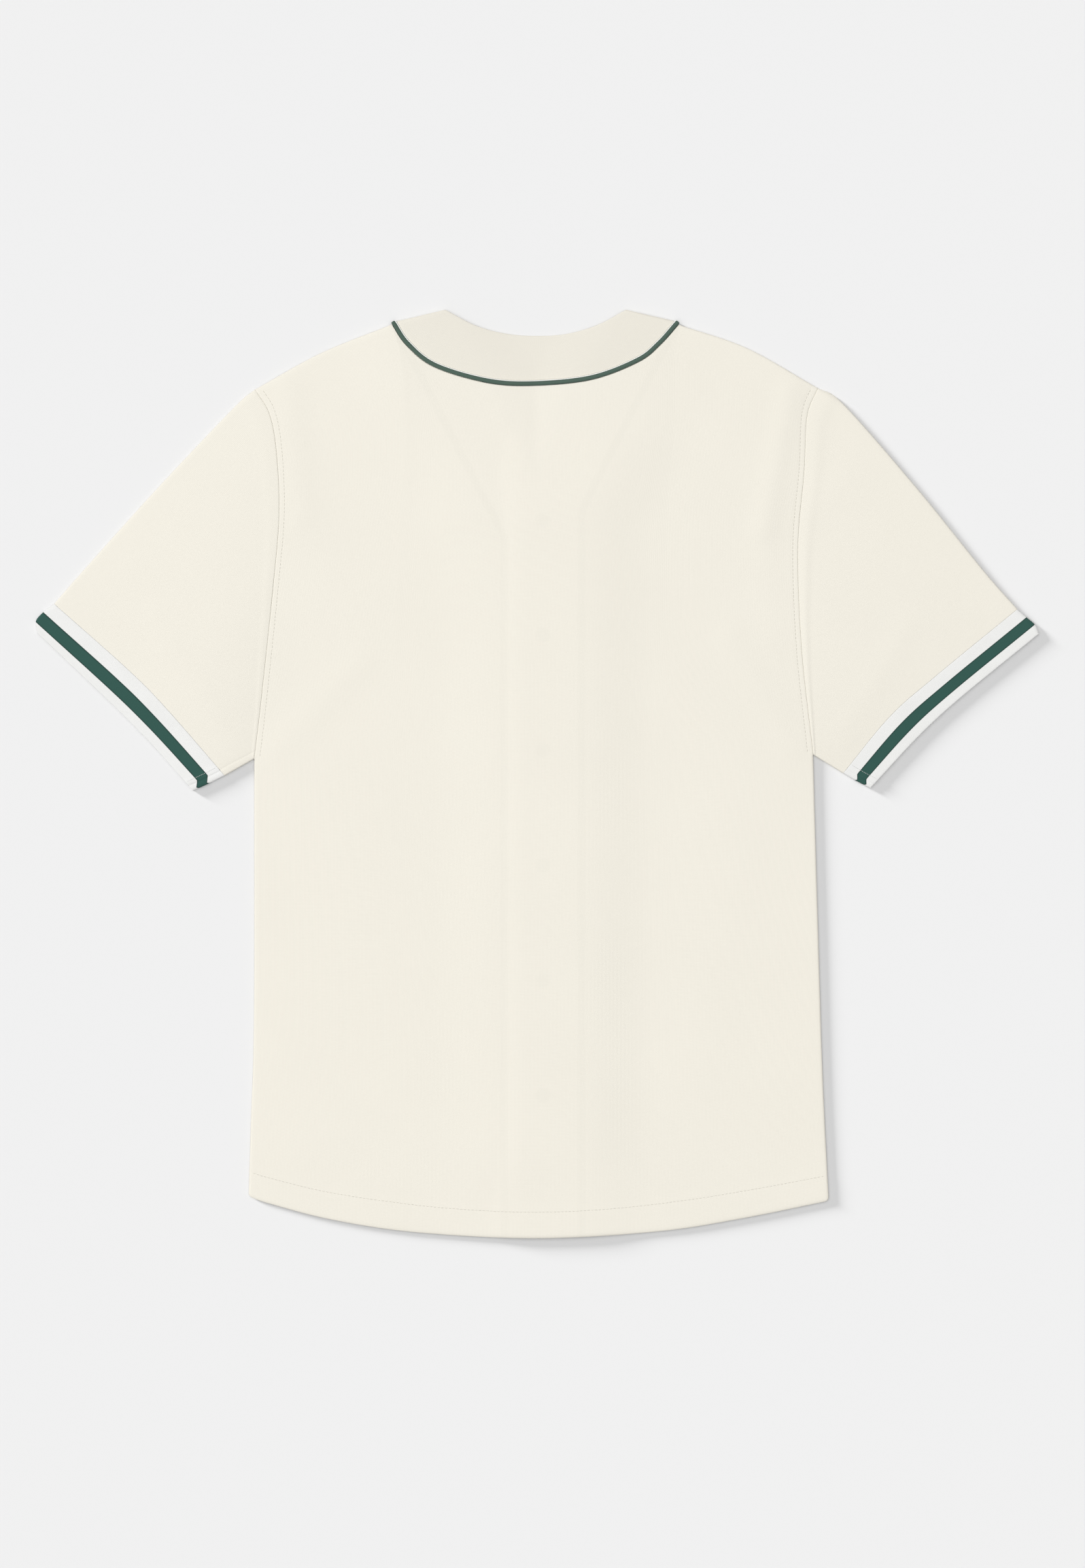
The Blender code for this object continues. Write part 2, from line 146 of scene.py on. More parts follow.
NECK_SEAM = (
    (-119.4, 374.3),
    (-107.5, 357.0),
    (-84.4, 339.0),
    (-39.2, 325.9),
    (2.0, 324.4),
    (46.0, 329.2),
    (83.3, 343.5),
    (100.5, 357.0),
    (116.0, 374.3),
)
NECK_EDGE = (
    (-76.6, 385.3),
    (-51.0, 372.2),
    (-26.0, 365.6),
    (0.0, 363.8),
    (25.0, 365.6),
    (50.0, 372.8),
    (73.7, 385.3),
)
V_POINT = (-1.0, 239.0)
SLEEVE_FOLD = {
    "left": ((-234.6, 319.2), (-252.1, 304.0), (-316.4, 236.2), (-377.4, 168.5), (-401.1, 141.4)),
    "right": ((232.8, 320.4), (254.0, 307.0), (315.9, 236.2), (370.6, 168.5), (398.3, 136.9)),
}
SLEEVE_SEAM = {
    "left": ((-235.1, 12.7), (-259.5, -1.2)),
    "right": ((228.9, 16.1), (253.7, 0.8)),
}
CUFF_SEAM = {
    "left": ((-401.1, 141.4), (-339.0, 86.1), (-307.4, 53.9), (-259.5, -1.2)),
    "right": ((398.3, 136.9), (329.4, 80.4), (292.4, 47.7), (253.7, 0.8)),
}
CUFF_FOLD = {
    "left": ((-409.6, 135.0), (-416.4, 127.0), (-415.0, 117.0)),
    "right": ((405.0, 130.9), (413.0, 124.0), (416.4, 116.6)),
}
CUFF_UNDER = {
    "left": ((-272.0, -7.4), (-285.9, -13.8)),
    "right": ((264.5, -5.4), (276.3, -11.6)),
}
CUFF_EDGE = {
    "left": ((-415.0, 117.0), (-334.8, 39.8), (-285.9, -13.8)),
    "right": ((416.4, 116.6), (333.3, 47.7), (276.3, -11.6)),
}

# Soft folds, each a low ridge between two points, or a trough where its height is negative
Fold = namedtuple("Fold", "x1 y1 x2 y2 spread height")
BACK_FOLDS = (
    Fold(x1=210.0, y1=318.0, x2=188.0, y2=205.0, spread=11.5, height=1.3),
    Fold(x1=188.0, y1=200.0, x2=196.0, y2=110.0, spread=14.0, height=0.5),
    Fold(x1=-208.0, y1=322.0, x2=-196.0, y2=215.0, spread=14.0, height=1.0),
    Fold(x1=-217.0, y1=20.0, x2=-150.0, y2=90.0, spread=15.0, height=0.8),
    Fold(x1=212.0, y1=24.0, x2=160.0, y2=110.0, spread=15.0, height=0.8),
    Fold(x1=-150.0, y1=-120.0, x2=-96.0, y2=-300.0, spread=24.0, height=0.35),
    Fold(x1=168.0, y1=-60.0, x2=128.0, y2=-262.0, spread=27.0, height=0.4),
    Fold(x1=-60.0, y1=250.0, x2=-96.0, y2=60.0, spread=26.0, height=0.3),
)
FRONT_FOLDS = {
    "left": (
        Fold(x1=-190.0, y1=280.0, x2=-150.0, y2=120.0, spread=14.0, height=0.3),
        Fold(x1=-210.0, y1=0.0, x2=-120.0, y2=-130.0, spread=18.0, height=0.3),
    ),
    "right": (
        Fold(x1=188.0, y1=262.0, x2=146.0, y2=96.0, spread=15.0, height=0.3),
        Fold(x1=205.0, y1=-20.0, x2=112.0, y2=-160.0, spread=20.0, height=0.25),
    ),
}
SLEEVE_FOLDS = {
    "left": (
        Fold(x1=-250.0, y1=22.0, x2=-318.0, y2=128.0, spread=13.0, height=0.55),
        Fold(x1=-236.0, y1=150.0, x2=-300.0, y2=196.0, spread=16.0, height=0.4),
    ),
    "right": (
        Fold(x1=246.0, y1=20.0, x2=306.0, y2=120.0, spread=13.0, height=0.55),
        Fold(x1=229.0, y1=214.0, x2=262.0, y2=250.0, spread=14.0, height=0.5),
    ),
}

# Sewing on the back: depth of the turned hem, and how far the rows of stitches lie from their edges
HEM_DEPTH = 22.0
HEM_STITCH = HEM_DEPTH - 1.5
HEM_STEP = 0.15
HEM_ROLL = 3.5
HEM_DROP = 0.5
GROOVE = {"left": 0.04, "right": 0.12}
GROOVE_WIDTH = 0.9
ARM_STITCH_IN = 5.0
PLACKET_STITCH_IN = 6.0
PIPING_STITCH_OUT = 3.6
UNDERARM_SEAM_IN = 6.0
TAPE_SEAM_IN = {"left": 5.4, "right": 4.0}
TAPE_STITCH_IN = 9.4
TAPE_WIDTH = 30.0
ARM_RISE = {"left": 0.25, "right": 0.6}

# Shares of the back's width at the two ends of the neck, and of a side's length at the underarm
NECK_LEFT = 0.25
NECK_RIGHT = 0.74
UNDERARM = 0.52

# Rough spans of the pieces, by which distances become shares and UV maps get their scale
BACK_WIDTH = 475.0
SIDE_LENGTH = 690.0
NECK_BAND_WIDTH = 38.0
SLEEVE_LENGTH = 200.0
SLEEVE_WIDTH = 290.0
SLEEVE_GIRTH = 250.0
TAPE_GIRTH = 190.0
UNDER_ROLL = EDGE_ROLL + SEAM

CURVE_STEPS = 24


class JerseySettings(bpy.types.PropertyGroup):
    """Sizes and colours of the finished jersey."""

    cloth_thickness: FloatProperty(
        name="Cloth thickness", description="Wall of the cream cloth", default=0.0008, unit="LENGTH")
    crease_depth: FloatProperty(
        name="Crease depth", description="Share of the soft folds that shows", default=1.0,
        min=0.0, max=1.5, subtype="FACTOR")
    stitch_length: FloatProperty(
        name="Stitch length", description="Length of one stitch", default=0.0024, unit="LENGTH")
    stitch_pitch: FloatProperty(
        name="Stitch pitch", description="From one stitch to the next", default=0.0031, unit="LENGTH")
    thread_width: FloatProperty(
        name="Thread width", description="Diameter of the sewing thread", default=0.0004, unit="LENGTH")
    piping_width: FloatProperty(
        name="Piping width", description="Diameter of the piping's cord", default=0.0034, unit="LENGTH")
    flange_width: FloatProperty(
        name="Piping edge width", description="White edge beside the piping", default=0.0009, unit="LENGTH")
    button_diameter: FloatProperty(
        name="Button diameter", description="Across the button", default=0.0115, unit="LENGTH")
    button_thickness: FloatProperty(
        name="Button thickness", description="Through the button's rim", default=0.002, unit="LENGTH")
    buttonhole_length: FloatProperty(
        name="Buttonhole length", description="Slit in the band, with its sewn ends", default=0.0145,
        unit="LENGTH")
    stripe_start: FloatProperty(
        name="Stripe start", description="Share of the tape's width where the stripe starts",
        default=0.36, subtype="FACTOR")
    stripe_end: FloatProperty(
        name="Stripe end", description="Share of the tape's width where the stripe ends",
        default=0.70, subtype="FACTOR")
    cream: FloatVectorProperty(
        name="Cloth colour", description="Cream of the cloth", default=(0.836, 0.802, 0.714),
        size=3, subtype="COLOR")
    band_shade: FloatProperty(
        name="Neck band shade", description="Tone of the neck band beside that of the back", default=0.945,
        subtype="FACTOR")
    # The see-through share also sets the strength of the painted shade over the open V
    see_through: FloatProperty(
        name="See-through", description="How much of what lies below tints the back", default=0.018,
        min=0.0, max=0.2, subtype="FACTOR")
    tape_white: FloatVectorProperty(
        name="Tape white", description="White of the tape", default=(0.825, 0.824, 0.808),
        size=3, subtype="COLOR")
    edge_white: FloatVectorProperty(
        name="Piping edge white", description="Fine edge beside the piping", default=(0.93, 0.94, 0.90),
        size=3, subtype="COLOR")
    tape_green: FloatVectorProperty(
        name="Tape green", description="Stripe of the tape", default=(0.029, 0.091, 0.074),
        size=3, subtype="COLOR")
    piping_green: FloatVectorProperty(
        name="Piping green", description="Cord in the seams", default=(0.060, 0.108, 0.082),
        size=3, subtype="COLOR")
    button_colour: FloatVectorProperty(
        name="Button colour", description="Plastic of the buttons", default=(0.05, 0.12, 0.10),
        size=3, subtype="COLOR")
    key_strength: FloatProperty(
        name="Key light", description="Power of the soft light from the upper left", default=453.0)
    low_key_strength: FloatProperty(
        name="Low key light", description="Light that casts the shadow on the floor", default=5.9)
    fill_strength: FloatProperty(
        name="Fill light", description="Wide light from above", default=1.45)
    sky_strength: FloatProperty(
        name="Surrounding light", description="Even light from all round", default=0.36)


def settings():
    return bpy.context.scene.jersey


class Track:
    """A curve in the plane, read by its share of length from 0 to 1."""

    def __init__(self, points):
        self.points = [Vector(point) for point in points]
        steps = [(b - a).length for a, b in zip(self.points, self.points[1:])]
        self.marks = [0.0, *accumulate(steps)]

    def __call__(self, share):
        length = min(max(share, 0.0), 1.0) * self.marks[-1]
        index = min(max(bisect_left(self.marks, length), 1), len(self.points) - 1)
        start, end = self.marks[index - 1], self.marks[index]
        return self.points[index - 1].lerp(self.points[index], (length - start) / (end - start))

    def normal(self, share, reach=0.004):
        """The unit vector to the left of the way the curve runs."""
        step = self(share + reach) - self(share - reach)
        return Vector((-step.y, step.x)).normalized()

    def y_at(self, x):
        """The y of a curve that runs towards +X."""
        index = max(1, min(bisect_left([point.x for point in self.points], x), len(self.points) - 1))
        start, end = self.points[index - 1:index + 1]
        return start.lerp(end, (x - start.x) / (end.x - start.x)).y


def smooth(rows, steps=CURVE_STEPS):
    """A curve through the rows of a table."""
    knots = [Vector(row) for row in rows]
    knots = [2 * knots[0] - knots[1], *knots, 2 * knots[-1] - knots[-2]]
    points = []
    for a, b, c, d in zip(knots, knots[1:], knots[2:], knots[3:]):
        for step in range(steps):
            t = step / steps
            cubic = 2 * a - 5 * b + 4 * c - d + t * (3 * (b - c) + d - a)
            points.append(b + 0.5 * t * (c - a + t * cubic))
    return Track([*points, knots[-2]])


def bend(start, corner, end, reach, steps=CURVE_STEPS):
    """Two straight runs with a round corner."""
    start, corner, end = Vector(start), Vector(corner), Vector(end)
    before = corner + (start - corner).normalized() * reach
    after = corner + (end - corner).normalized() * reach
    shares = [step / steps for step in range(steps + 1)]
    turn = [before.lerp(corner, t).lerp(corner.lerp(after, t), t) for t in shares]
    return Track([start, *turn, end])


def beside(track, distance):
    """A line that keeps its distance from a track, to the left for a positive one."""
    return lambda share: track(share) + track.normal(share) * distance


def backward(line):
    return lambda share: line(1.0 - share)


def joined(*pieces):
    """One line from several. Each row is a line and the share of the whole where it ends."""
    def point(share):
        begin = 0.0
        for line, finish in pieces:
            if share <= finish:
                break
            begin = finish
        return line(min((share - begin) / (finish - begin), 1.0))
    return point


def patch(bottom, top, left, right):
    """The area between four curves, as a function of u across and v along."""
    corner_bl, corner_br, corner_tl, corner_tr = bottom(0), bottom(1), top(0), top(1)

    def point(u, v):
        edges = bottom(u) * (1 - v) + top(u) * v + left(v) * (1 - u) + right(v) * u
        corners = (corner_bl * (1 - u) * (1 - v) + corner_br * u * (1 - v)
                   + corner_tl * (1 - u) * v + corner_tr * u * v)
        return edges - corners
    return point


def stations(*spans):
    """Shares from 0 to 1. Each row is where a span ends and its number of steps."""
    marks = [0.0]
    for end, count in spans:
        start = marks[-1]
        marks += [start + (end - start) * (step + 1) / count for step in range(count)]
    return marks


def ramp(distance, width):
    """1 up to distance 0, then a smooth fall to 0 at the given width."""
    share = min(max(distance / width, 0.0), 1.0)
    return 0.5 + 0.5 * cos(pi * share)


def bell(distance, width):
    return exp(-(distance / width) ** 2)


def rounded(distance, reach):
    """A quarter of an ellipse, from 0 at an edge to 1 at its reach."""
    return sqrt(1.0 - (1.0 - min(max(distance / reach, 0.0), 1.0)) ** 2)


# Lines of the front bands

def seam_x(side):
    return PLACKET_X + SIGN[side] * PLACKET_HALF


def free_x(side):
    return seam_x(side) - SIGN[side] * BAND_WIDTH


def neck_point(side):
    return Vector(NECK_EDGE[0] if side == "left" else NECK_EDGE[-1])


def neck_slope(side):
    """The direction of the V, from the neck point down."""
    return (Vector(V_POINT) - neck_point(side)).normalized()


def neck_normal(side):
    """Square to the V, away from its opening."""
    slope = neck_slope(side)
    return Vector((SIGN[side] * -slope.y, -abs(slope.x)))


def down_to(start, slope, x):
    """The point where a line meets an upright line."""
    return start + slope * ((x - start.x) / slope.x)


def band_seam(side, hem):
    """The line of the piping, from the hem to the shoulder."""
    top = Vector(SHOULDER[side][-1])
    x = seam_x(side)
    return bend((x, hem.y_at(x) + FRONT_HEM_RISE), down_to(top, neck_slope(side), x), top, NECK_BEND_REACH)


def band_edge(side, hem):
    """The free edge of the band, from the hem to the neck point."""
    x = free_x(side)
    corner = down_to(neck_point(side), neck_slope(side), x)
    return bend((x, hem.y_at(x) + FRONT_HEM_RISE), corner, neck_point(side), NECK_BEND_REACH)


# Heights of the underside of each layer

NECK_NORMALS = {side: neck_normal(side) for side in SIDES}
SHOULDER_ENDS = {side: Vector(SHOULDER[side][-1]) for side in SIDES}
NECK_POINTS = {side: neck_point(side) for side in SIDES}


def full_lift(side, y):
    """Height of a band over the surface. The right one lies on the left one below the V, and both
    settle at the hem, past the last button."""
    lift = V_LIFT + (PLACKET_LIFT - V_LIFT) * ramp(y - PLACKET_START_Y, LIFT_FALL)
    lift *= 1.0 - HEM_SETTLE * ramp(y - HEM_LEVEL_Y, HEM_SETTLE_REACH)
    if side == "right":
        lift += (WALL + SEAM) * ramp(y - OVERLAP_START_Y, LIFT_FALL)
    return lift


def front_height(side, x, y):
    """Underside of a front and its band: level on the band, then falling to the surface."""
    from_placket = SIGN[side] * (x - seam_x(side))
    from_v = (Vector((x, y)) - SHOULDER_ENDS[side]).dot(NECK_NORMALS[side])
    return full_lift(side, y) * ramp(min(from_placket, from_v), LIFT_FALL)


def v_depth(x, y):
    """How far a place is inside the opening of the V."""
    place = Vector((x, y))
    return min((NECK_POINTS[side] - place).dot(NECK_NORMALS[side]) for side in SIDES)


def fold_height(folds, x, y):
    """The sum of the soft folds at a place."""
    total = 0.0
    place = Vector((x, y))
    for fold in folds:
        start, end = Vector((fold.x1, fold.y1)), Vector((fold.x2, fold.y2))
        along = (place - start).dot(end - start) / (end - start).length_squared
        nearest = start.lerp(end, min(max(along, 0.0), 1.0))
        total += fold.height * bell((place - nearest).length, fold.spread)
    return total * settings().crease_depth


def back_height(x, y):
    """Underside of the back and the neck band, over whatever lies below."""
    covers = []
    for side in SIDES:
        past_edge = SIGN[side] * (free_x(side) - x)
        covers.append(front_height(side, x, y) * ramp(past_edge, FREE_EDGE_FALL))
    over_front = max(covers) + WALL + LAYER_GAP - SEAM
    return SEAM + over_front * ramp(v_depth(x, y), V_SAG_REACH)


def outline():
    """The seam lines that the pieces share."""
    lines = {"hem": smooth(HEM), "neck": smooth(NECK_SEAM), "neck_edge": smooth(NECK_EDGE)}
    tables = {
        "side": SIDE_SEAM, "armhole": ARMHOLE, "fold": SLEEVE_FOLD, "under": SLEEVE_SEAM,
        "cuff_seam": CUFF_SEAM, "cuff_edge": CUFF_EDGE,
    }
    for name, table in tables.items():
        for side in SIDES:
            lines[name, side] = smooth(table[side])
    for side in SIDES:
        lines["band_seam", side] = band_seam(side, lines["hem"])
        lines["band_edge", side] = band_edge(side, lines["hem"])
    return lines


LINES = outline()


# Shader nodes

# Pitch of a knit's loops and of a thread's twist, along it and round it, in metres
KNIT_PITCH = 0.0011
TAPE_KNIT_PITCH = 0.0009
TWIST_PITCH = 0.0011
STRAND_PITCH = 0.0014

# Depth of the relief, and sizes of the slow changes of tone, in metres
KNIT_RELIEF = 0.00025
THREAD_RELIEF = 0.0002
CLOTH_CLOUD = 0.09
TAPE_CLOUD = 0.02
PLASTIC_CLOUD = 0.004
DULL_SPECULAR = 0.25

# What lies below the back: where each tint, and the painted shade over the open V, starts to fade and where
# it ends, in millimetres
CORD_FADE = (1.8, 4.5)
BUTTON_FADE = (4.0, 8.0)
V_SHADE_FADE = (-9.0, 3.0)
# Colour of the painted shade over the open V, where only one layer of cloth lies
PAINTED_V_SHADE = (0.45, 0.47, 0.48)


def node(tree, kind, inputs=None, **values):
    """Adds a node. An input's value is a number, a colour or another node's socket."""
    made = tree.nodes.new(kind)
    for name, value in values.items():
        setattr(made, name, value)
    for name, value in (inputs or {}).items():
        if isinstance(value, bpy.types.NodeSocket):
            tree.links.new(value, made.inputs[name])
        else:
            made.inputs[name].default_value = value
    return made


def maths(tree, operation, *values, clamp=False):
    inputs = dict(enumerate(values))
    return node(tree, "ShaderNodeMath", inputs, operation=operation, use_clamp=clamp).outputs[0]


def blended(tree, share, first, second, mode="MIX"):
    """The first colour where the share is 0, the second where it is 1."""
    made = node(tree, "ShaderNodeMix", {"Factor": share}, data_type="RGBA", blend_type=mode)
    for socket, value in ((made.inputs[6], first), (made.inputs[7], second)):
        if isinstance(value, bpy.types.NodeSocket):
            tree.links.new(value, socket)
        else:
            socket.default_value = (*value[:3], 1.0)
    return made.outputs[2]


def node_group(name, inputs, outputs, build):
    """A shader group, made once. Rows of inputs are name, kind and default."""
    found = bpy.data.node_groups.get(name)
    if found:
        return found
    group = bpy.data.node_groups.new(name, "ShaderNodeTree")
    for label, kind, default in inputs:
        socket = group.interface.new_socket(name=label, in_out="INPUT", socket_type=kind)
        if default is not None:
            socket.default_value = default
    for label, kind in outputs:
        group.interface.new_socket(name=label, in_out="OUTPUT", socket_type=kind)
    source = group.nodes.new("NodeGroupInput").outputs
    results = build(group, source)
    sink = group.nodes.new("NodeGroupOutput")
    for label, socket in results.items():
        group.links.new(socket, sink.inputs[label])
    return group


def use_group(tree, group, inputs):
    made = node(tree, "ShaderNodeGroup")
    made.node_tree = group
    for name, value in inputs.items():
        if isinstance(value, bpy.types.NodeSocket):
            tree.links.new(value, made.inputs[name])
        else:
            made.inputs[name].default_value = value
    return made.outputs


def knit_group():
    """Columns of small loops. Its vector is in metres."""
    def build(tree, source):
        scaled = node(tree, "ShaderNodeVectorMath", {0: source["Vector"]}, operation="DIVIDE")
        pitch = node(tree, "ShaderNodeCombineXYZ", {"X": source["Pitch"], "Y": source["Pitch"], "Z": 1.0})
        tree.links.new(pitch.outputs[0], scaled.inputs[1])
        parts = node(tree, "ShaderNodeSeparateXYZ", {0: scaled.outputs[0]}).outputs
        across = maths(tree, "MULTIPLY", parts["X"], pi)
        wale = maths(tree, "ABSOLUTE", maths(tree, "SINE", across))
        slant = maths(tree, "MULTIPLY", maths(tree, "ABSOLUTE", maths(tree, "COSINE", across)), 2.2)
        course = maths(tree, "SINE", maths(tree, "ADD", maths(tree, "MULTIPLY", parts["Y"], 2 * pi), slant))
        loops = maths(tree, "MULTIPLY_ADD", course, 0.25, 0.75)
        return {"Height": maths(tree, "MULTIPLY", wale, loops)}
    inputs = (("Vector", "NodeSocketVector", None), ("Pitch", "NodeSocketFloat", 0.001))
    return node_group("Fine knit", inputs, (("Height", "NodeSocketFloat"),), build)


def cloudy_group():
    """Slow and uneven changes of tone. Its vector is in metres."""
    def build(tree, source):
        scale = maths(tree, "DIVIDE", 1.0, source["Size"])
        noise = node(tree, "ShaderNodeTexNoise", {"Vector": source["Vector"], "Scale": scale, "Detail": 3.0})
        spread = maths(tree, "SUBTRACT", noise.outputs["Fac"], 0.5)
        return {"Factor": maths(tree, "MULTIPLY_ADD", spread, source["Strength"], 0.5, clamp=True)}
    inputs = (("Vector", "NodeSocketVector", None), ("Size", "NodeSocketFloat", 0.1),
              ("Strength", "NodeSocketFloat", 2.0))
    return node_group("Cloudy tone", inputs, (("Factor", "NodeSocketFloat"),), build)


def past_line(tree, x, y, start, normal):
    """How far a place is past a line, in the direction of its normal."""
    along_y = maths(tree, "MULTIPLY_ADD", y, normal.y, -start.dot(normal))
    return maths(tree, "MULTIPLY_ADD", x, normal.x, along_y)


def fading(tree, distance, start, end):
    """1 up to the start of a distance, falling to 0 at its end."""
    inputs = {"Value": distance, "From Min": start, "From Max": end, "To Min": 1.0, "To Max": 0.0}
    return node(tree, "ShaderNodeMapRange", inputs, interpolation_type="SMOOTHSTEP").outputs[0]


def below_group():
    """Where the piping, the buttons and the open neck of the fronts lie below: the first two give painted
    see-through tints, the open neck a painted shade where only one layer of cloth lies. Its vector is in
    metres.
    """
    def build(tree, source):
        scaled = node(tree, "ShaderNodeVectorMath", {0: source["Vector"], "Scale": 1 / MM}, operation="SCALE")
        parts = node(tree, "ShaderNodeSeparateXYZ", {0: scaled.outputs[0]}).outputs
        x, y = parts["X"], parts["Y"]
        cords, depths = [], []
        for side in SIDES:
            upright = Vector((SIGN[side], 0.0))
            past_placket = past_line(tree, x, y, Vector((seam_x(side), 0.0)), upright)
            past_v = past_line(tree, x, y, SHOULDER_ENDS[side], NECK_NORMALS[side])
            beside_cord = maths(tree, "ABSOLUTE", maths(tree, "MINIMUM", past_placket, past_v))
            cords.append(fading(tree, beside_cord, *CORD_FADE))
            depths.append(past_line(tree, x, y, NECK_POINTS[side], NECK_NORMALS[side]))
        row = maths(tree, "MULTIPLY_ADD", y, -1 / BUTTON_PITCH, BUTTON_TOP_Y / BUTTON_PITCH)
        nearest = maths(tree, "MAXIMUM", maths(tree, "ROUND", row), 0.0)
        nearest = maths(tree, "MINIMUM", nearest, BUTTON_COUNT - 1.0)
        off_y = maths(tree, "MULTIPLY", maths(tree, "SUBTRACT", row, nearest), BUTTON_PITCH)
        off_x = maths(tree, "SUBTRACT", x, PLACKET_X)
        squares = maths(tree, "MULTIPLY_ADD", off_x, off_x, maths(tree, "MULTIPLY", off_y, off_y))
        return {
            "Piping": maths(tree, "MAXIMUM", *cords),
            "Button": fading(tree, maths(tree, "SQRT", squares), *BUTTON_FADE),
            # Painted shade over the open V of the neck
            "Open V shade": fading(tree, maths(tree, "MAXIMUM", *depths), *V_SHADE_FADE),
        }
    outputs = (("Piping", "NodeSocketFloat"), ("Button", "NodeSocketFloat"), ("Open V shade", "NodeSocketFloat"))
    return node_group("Seen through", (("Vector", "NodeSocketVector", None),), outputs, build)


def new_material(name, roughness, **constants):
    """A Principled material. Constants are the shader's own sockets, by name."""
    made = bpy.data.materials.new(name)
    made.use_nodes = True
    shader = made.node_tree.nodes["Principled BSDF"]
    shader.inputs["Roughness"].default_value = roughness
    for label, value in constants.items():
        shader.inputs[label.replace("_", " ")].default_value = value
    return made, made.node_tree, shader


def connect_bump(tree, shader, height, strength, distance):
    bump = node(tree, "ShaderNodeBump", {"Height": height, "Strength": strength, "Distance": distance})
    tree.links.new(bump.outputs[0], shader.inputs["Normal"])


def shaded(colour, share):
    return tuple(value * share for value in colour)


def cream_knit(name, shade=1.0, over_front=False):
    """Fine dull knit, a little uneven in tone. Over the front it shows faintly what lies below as painted
    tints, with a painted shade over the open V.
    """
    made, tree, shader = new_material(name, 0.9, Sheen_Weight=0.05, Sheen_Roughness=0.5)
    shader.inputs["Specular IOR Level"].default_value = DULL_SPECULAR
    uv = node(tree, "ShaderNodeUVMap", uv_map="cloth").outputs[0]
    place = node(tree, "ShaderNodeTexCoord").outputs["Object"]
    knit = use_group(tree, knit_group(), {"Vector": uv, "Pitch": KNIT_PITCH})["Height"]
    cloud = use_group(tree, cloudy_group(), {"Vector": place, "Size": CLOTH_CLOUD, "Strength": 2.0})["Factor"]
    colour = shaded(settings().cream, shade)
    uneven = blended(tree, cloud, shaded(colour, 0.992), shaded(colour, 1.008))
    # Painted shade: the cloth is darker in the hollows between the loops of the knit
    loops = maths(tree, "MULTIPLY_ADD", knit, 0.05, 0.965)
    tinted = blended(tree, 1.0, uneven, loops, "MULTIPLY")
    if over_front:
        below = use_group(tree, below_group(), {"Vector": place})
        tints_and_shade = {"Piping": settings().piping_green, "Button": settings().button_colour,
                 "Open V shade": PAINTED_V_SHADE}
        # Painted see-through tints of the piping and buttons, and the painted shade over the open V
        for label, tint in tints_and_shade.items():
            share = maths(tree, "MULTIPLY", below[label], settings().see_through)
            tinted = blended(tree, share, tinted, tuple(tint))
    tree.links.new(tinted, shader.inputs["Base Color"])
    connect_bump(tree, shader, knit, 0.35, KNIT_RELIEF)
    return made


def knitted_tape():
    """Knitted tape, white with one green stripe along it."""
    made, tree, shader = new_material("knitted_tape", 0.85, Sheen_Weight=0.06, Sheen_Roughness=0.5)
    shader.inputs["Specular IOR Level"].default_value = DULL_SPECULAR
    uv = node(tree, "ShaderNodeUVMap", uv_map="cloth").outputs[0]
    across = node(tree, "ShaderNodeSeparateXYZ", {0: uv}).outputs["Y"]
    share = maths(tree, "DIVIDE", across, TAPE_WIDTH * MM)
    start, end = settings().stripe_start, settings().stripe_end
    from_middle = maths(tree, "ABSOLUTE", maths(tree, "SUBTRACT", share, (start + end) / 2))
    half = (end - start) / 2
    stripe = fading(tree, from_middle, half - 0.008, half + 0.008)
    plain = fading(tree, from_middle, half - 0.045, half - 0.015)
    knit = use_group(tree, knit_group(), {"Vector": uv, "Pitch": TAPE_KNIT_PITCH})["Height"]
    place = node(tree, "ShaderNodeTexCoord").outputs["Object"]
    cloud = use_group(tree, cloudy_group(), {"Vector": place, "Size": TAPE_CLOUD, "Strength": 1.6})["Factor"]
    green = blended(tree, plain, shaded(settings().tape_green, 0.55), tuple(settings().tape_green))
    base = blended(tree, stripe, tuple(settings().tape_white), green)
    # Painted shade darker in the hollows between the loops, then a slow uneven tone
    tone = maths(tree, "MULTIPLY_ADD", knit, 0.08, 0.94)
    tone = maths(tree, "MULTIPLY", tone, maths(tree, "MULTIPLY_ADD", cloud, 0.04, 0.98))
    tree.links.new(blended(tree, 1.0, base, tone, "MULTIPLY"), shader.inputs["Base Color"])
    connect_bump(tree, shader, knit, 0.4, KNIT_RELIEF)
    return made


def thread_material(name, colour, roughness=0.55):
    """Twisted thread or cord. Its strands wind round along the UV map."""
    made, tree, shader = new_material(name, roughness, Sheen_Weight=0.1)
    uv = node(tree, "ShaderNodeUVMap", uv_map="cloth").outputs[0]
    parts = node(tree, "ShaderNodeSeparateXYZ", {0: uv}).outputs
    along = maths(tree, "MULTIPLY", parts["Y"], 2 * pi / TWIST_PITCH)
    turned = maths(tree, "MULTIPLY", parts["X"], 2 * pi / STRAND_PITCH)
    strand = maths(tree, "SINE", maths(tree, "ADD", along, turned))
    height = maths(tree, "MULTIPLY_ADD", strand, 0.5, 0.5)
    # Painted shade: the thread is darker in the hollows between its strands
    tone = maths(tree, "MULTIPLY_ADD", height, 0.3, 0.82)
    tree.links.new(blended(tree, 1.0, colour, tone, "MULTIPLY"), shader.inputs["Base Color"])
    connect_bump(tree, shader, height, 0.6, THREAD_RELIEF)
    return made


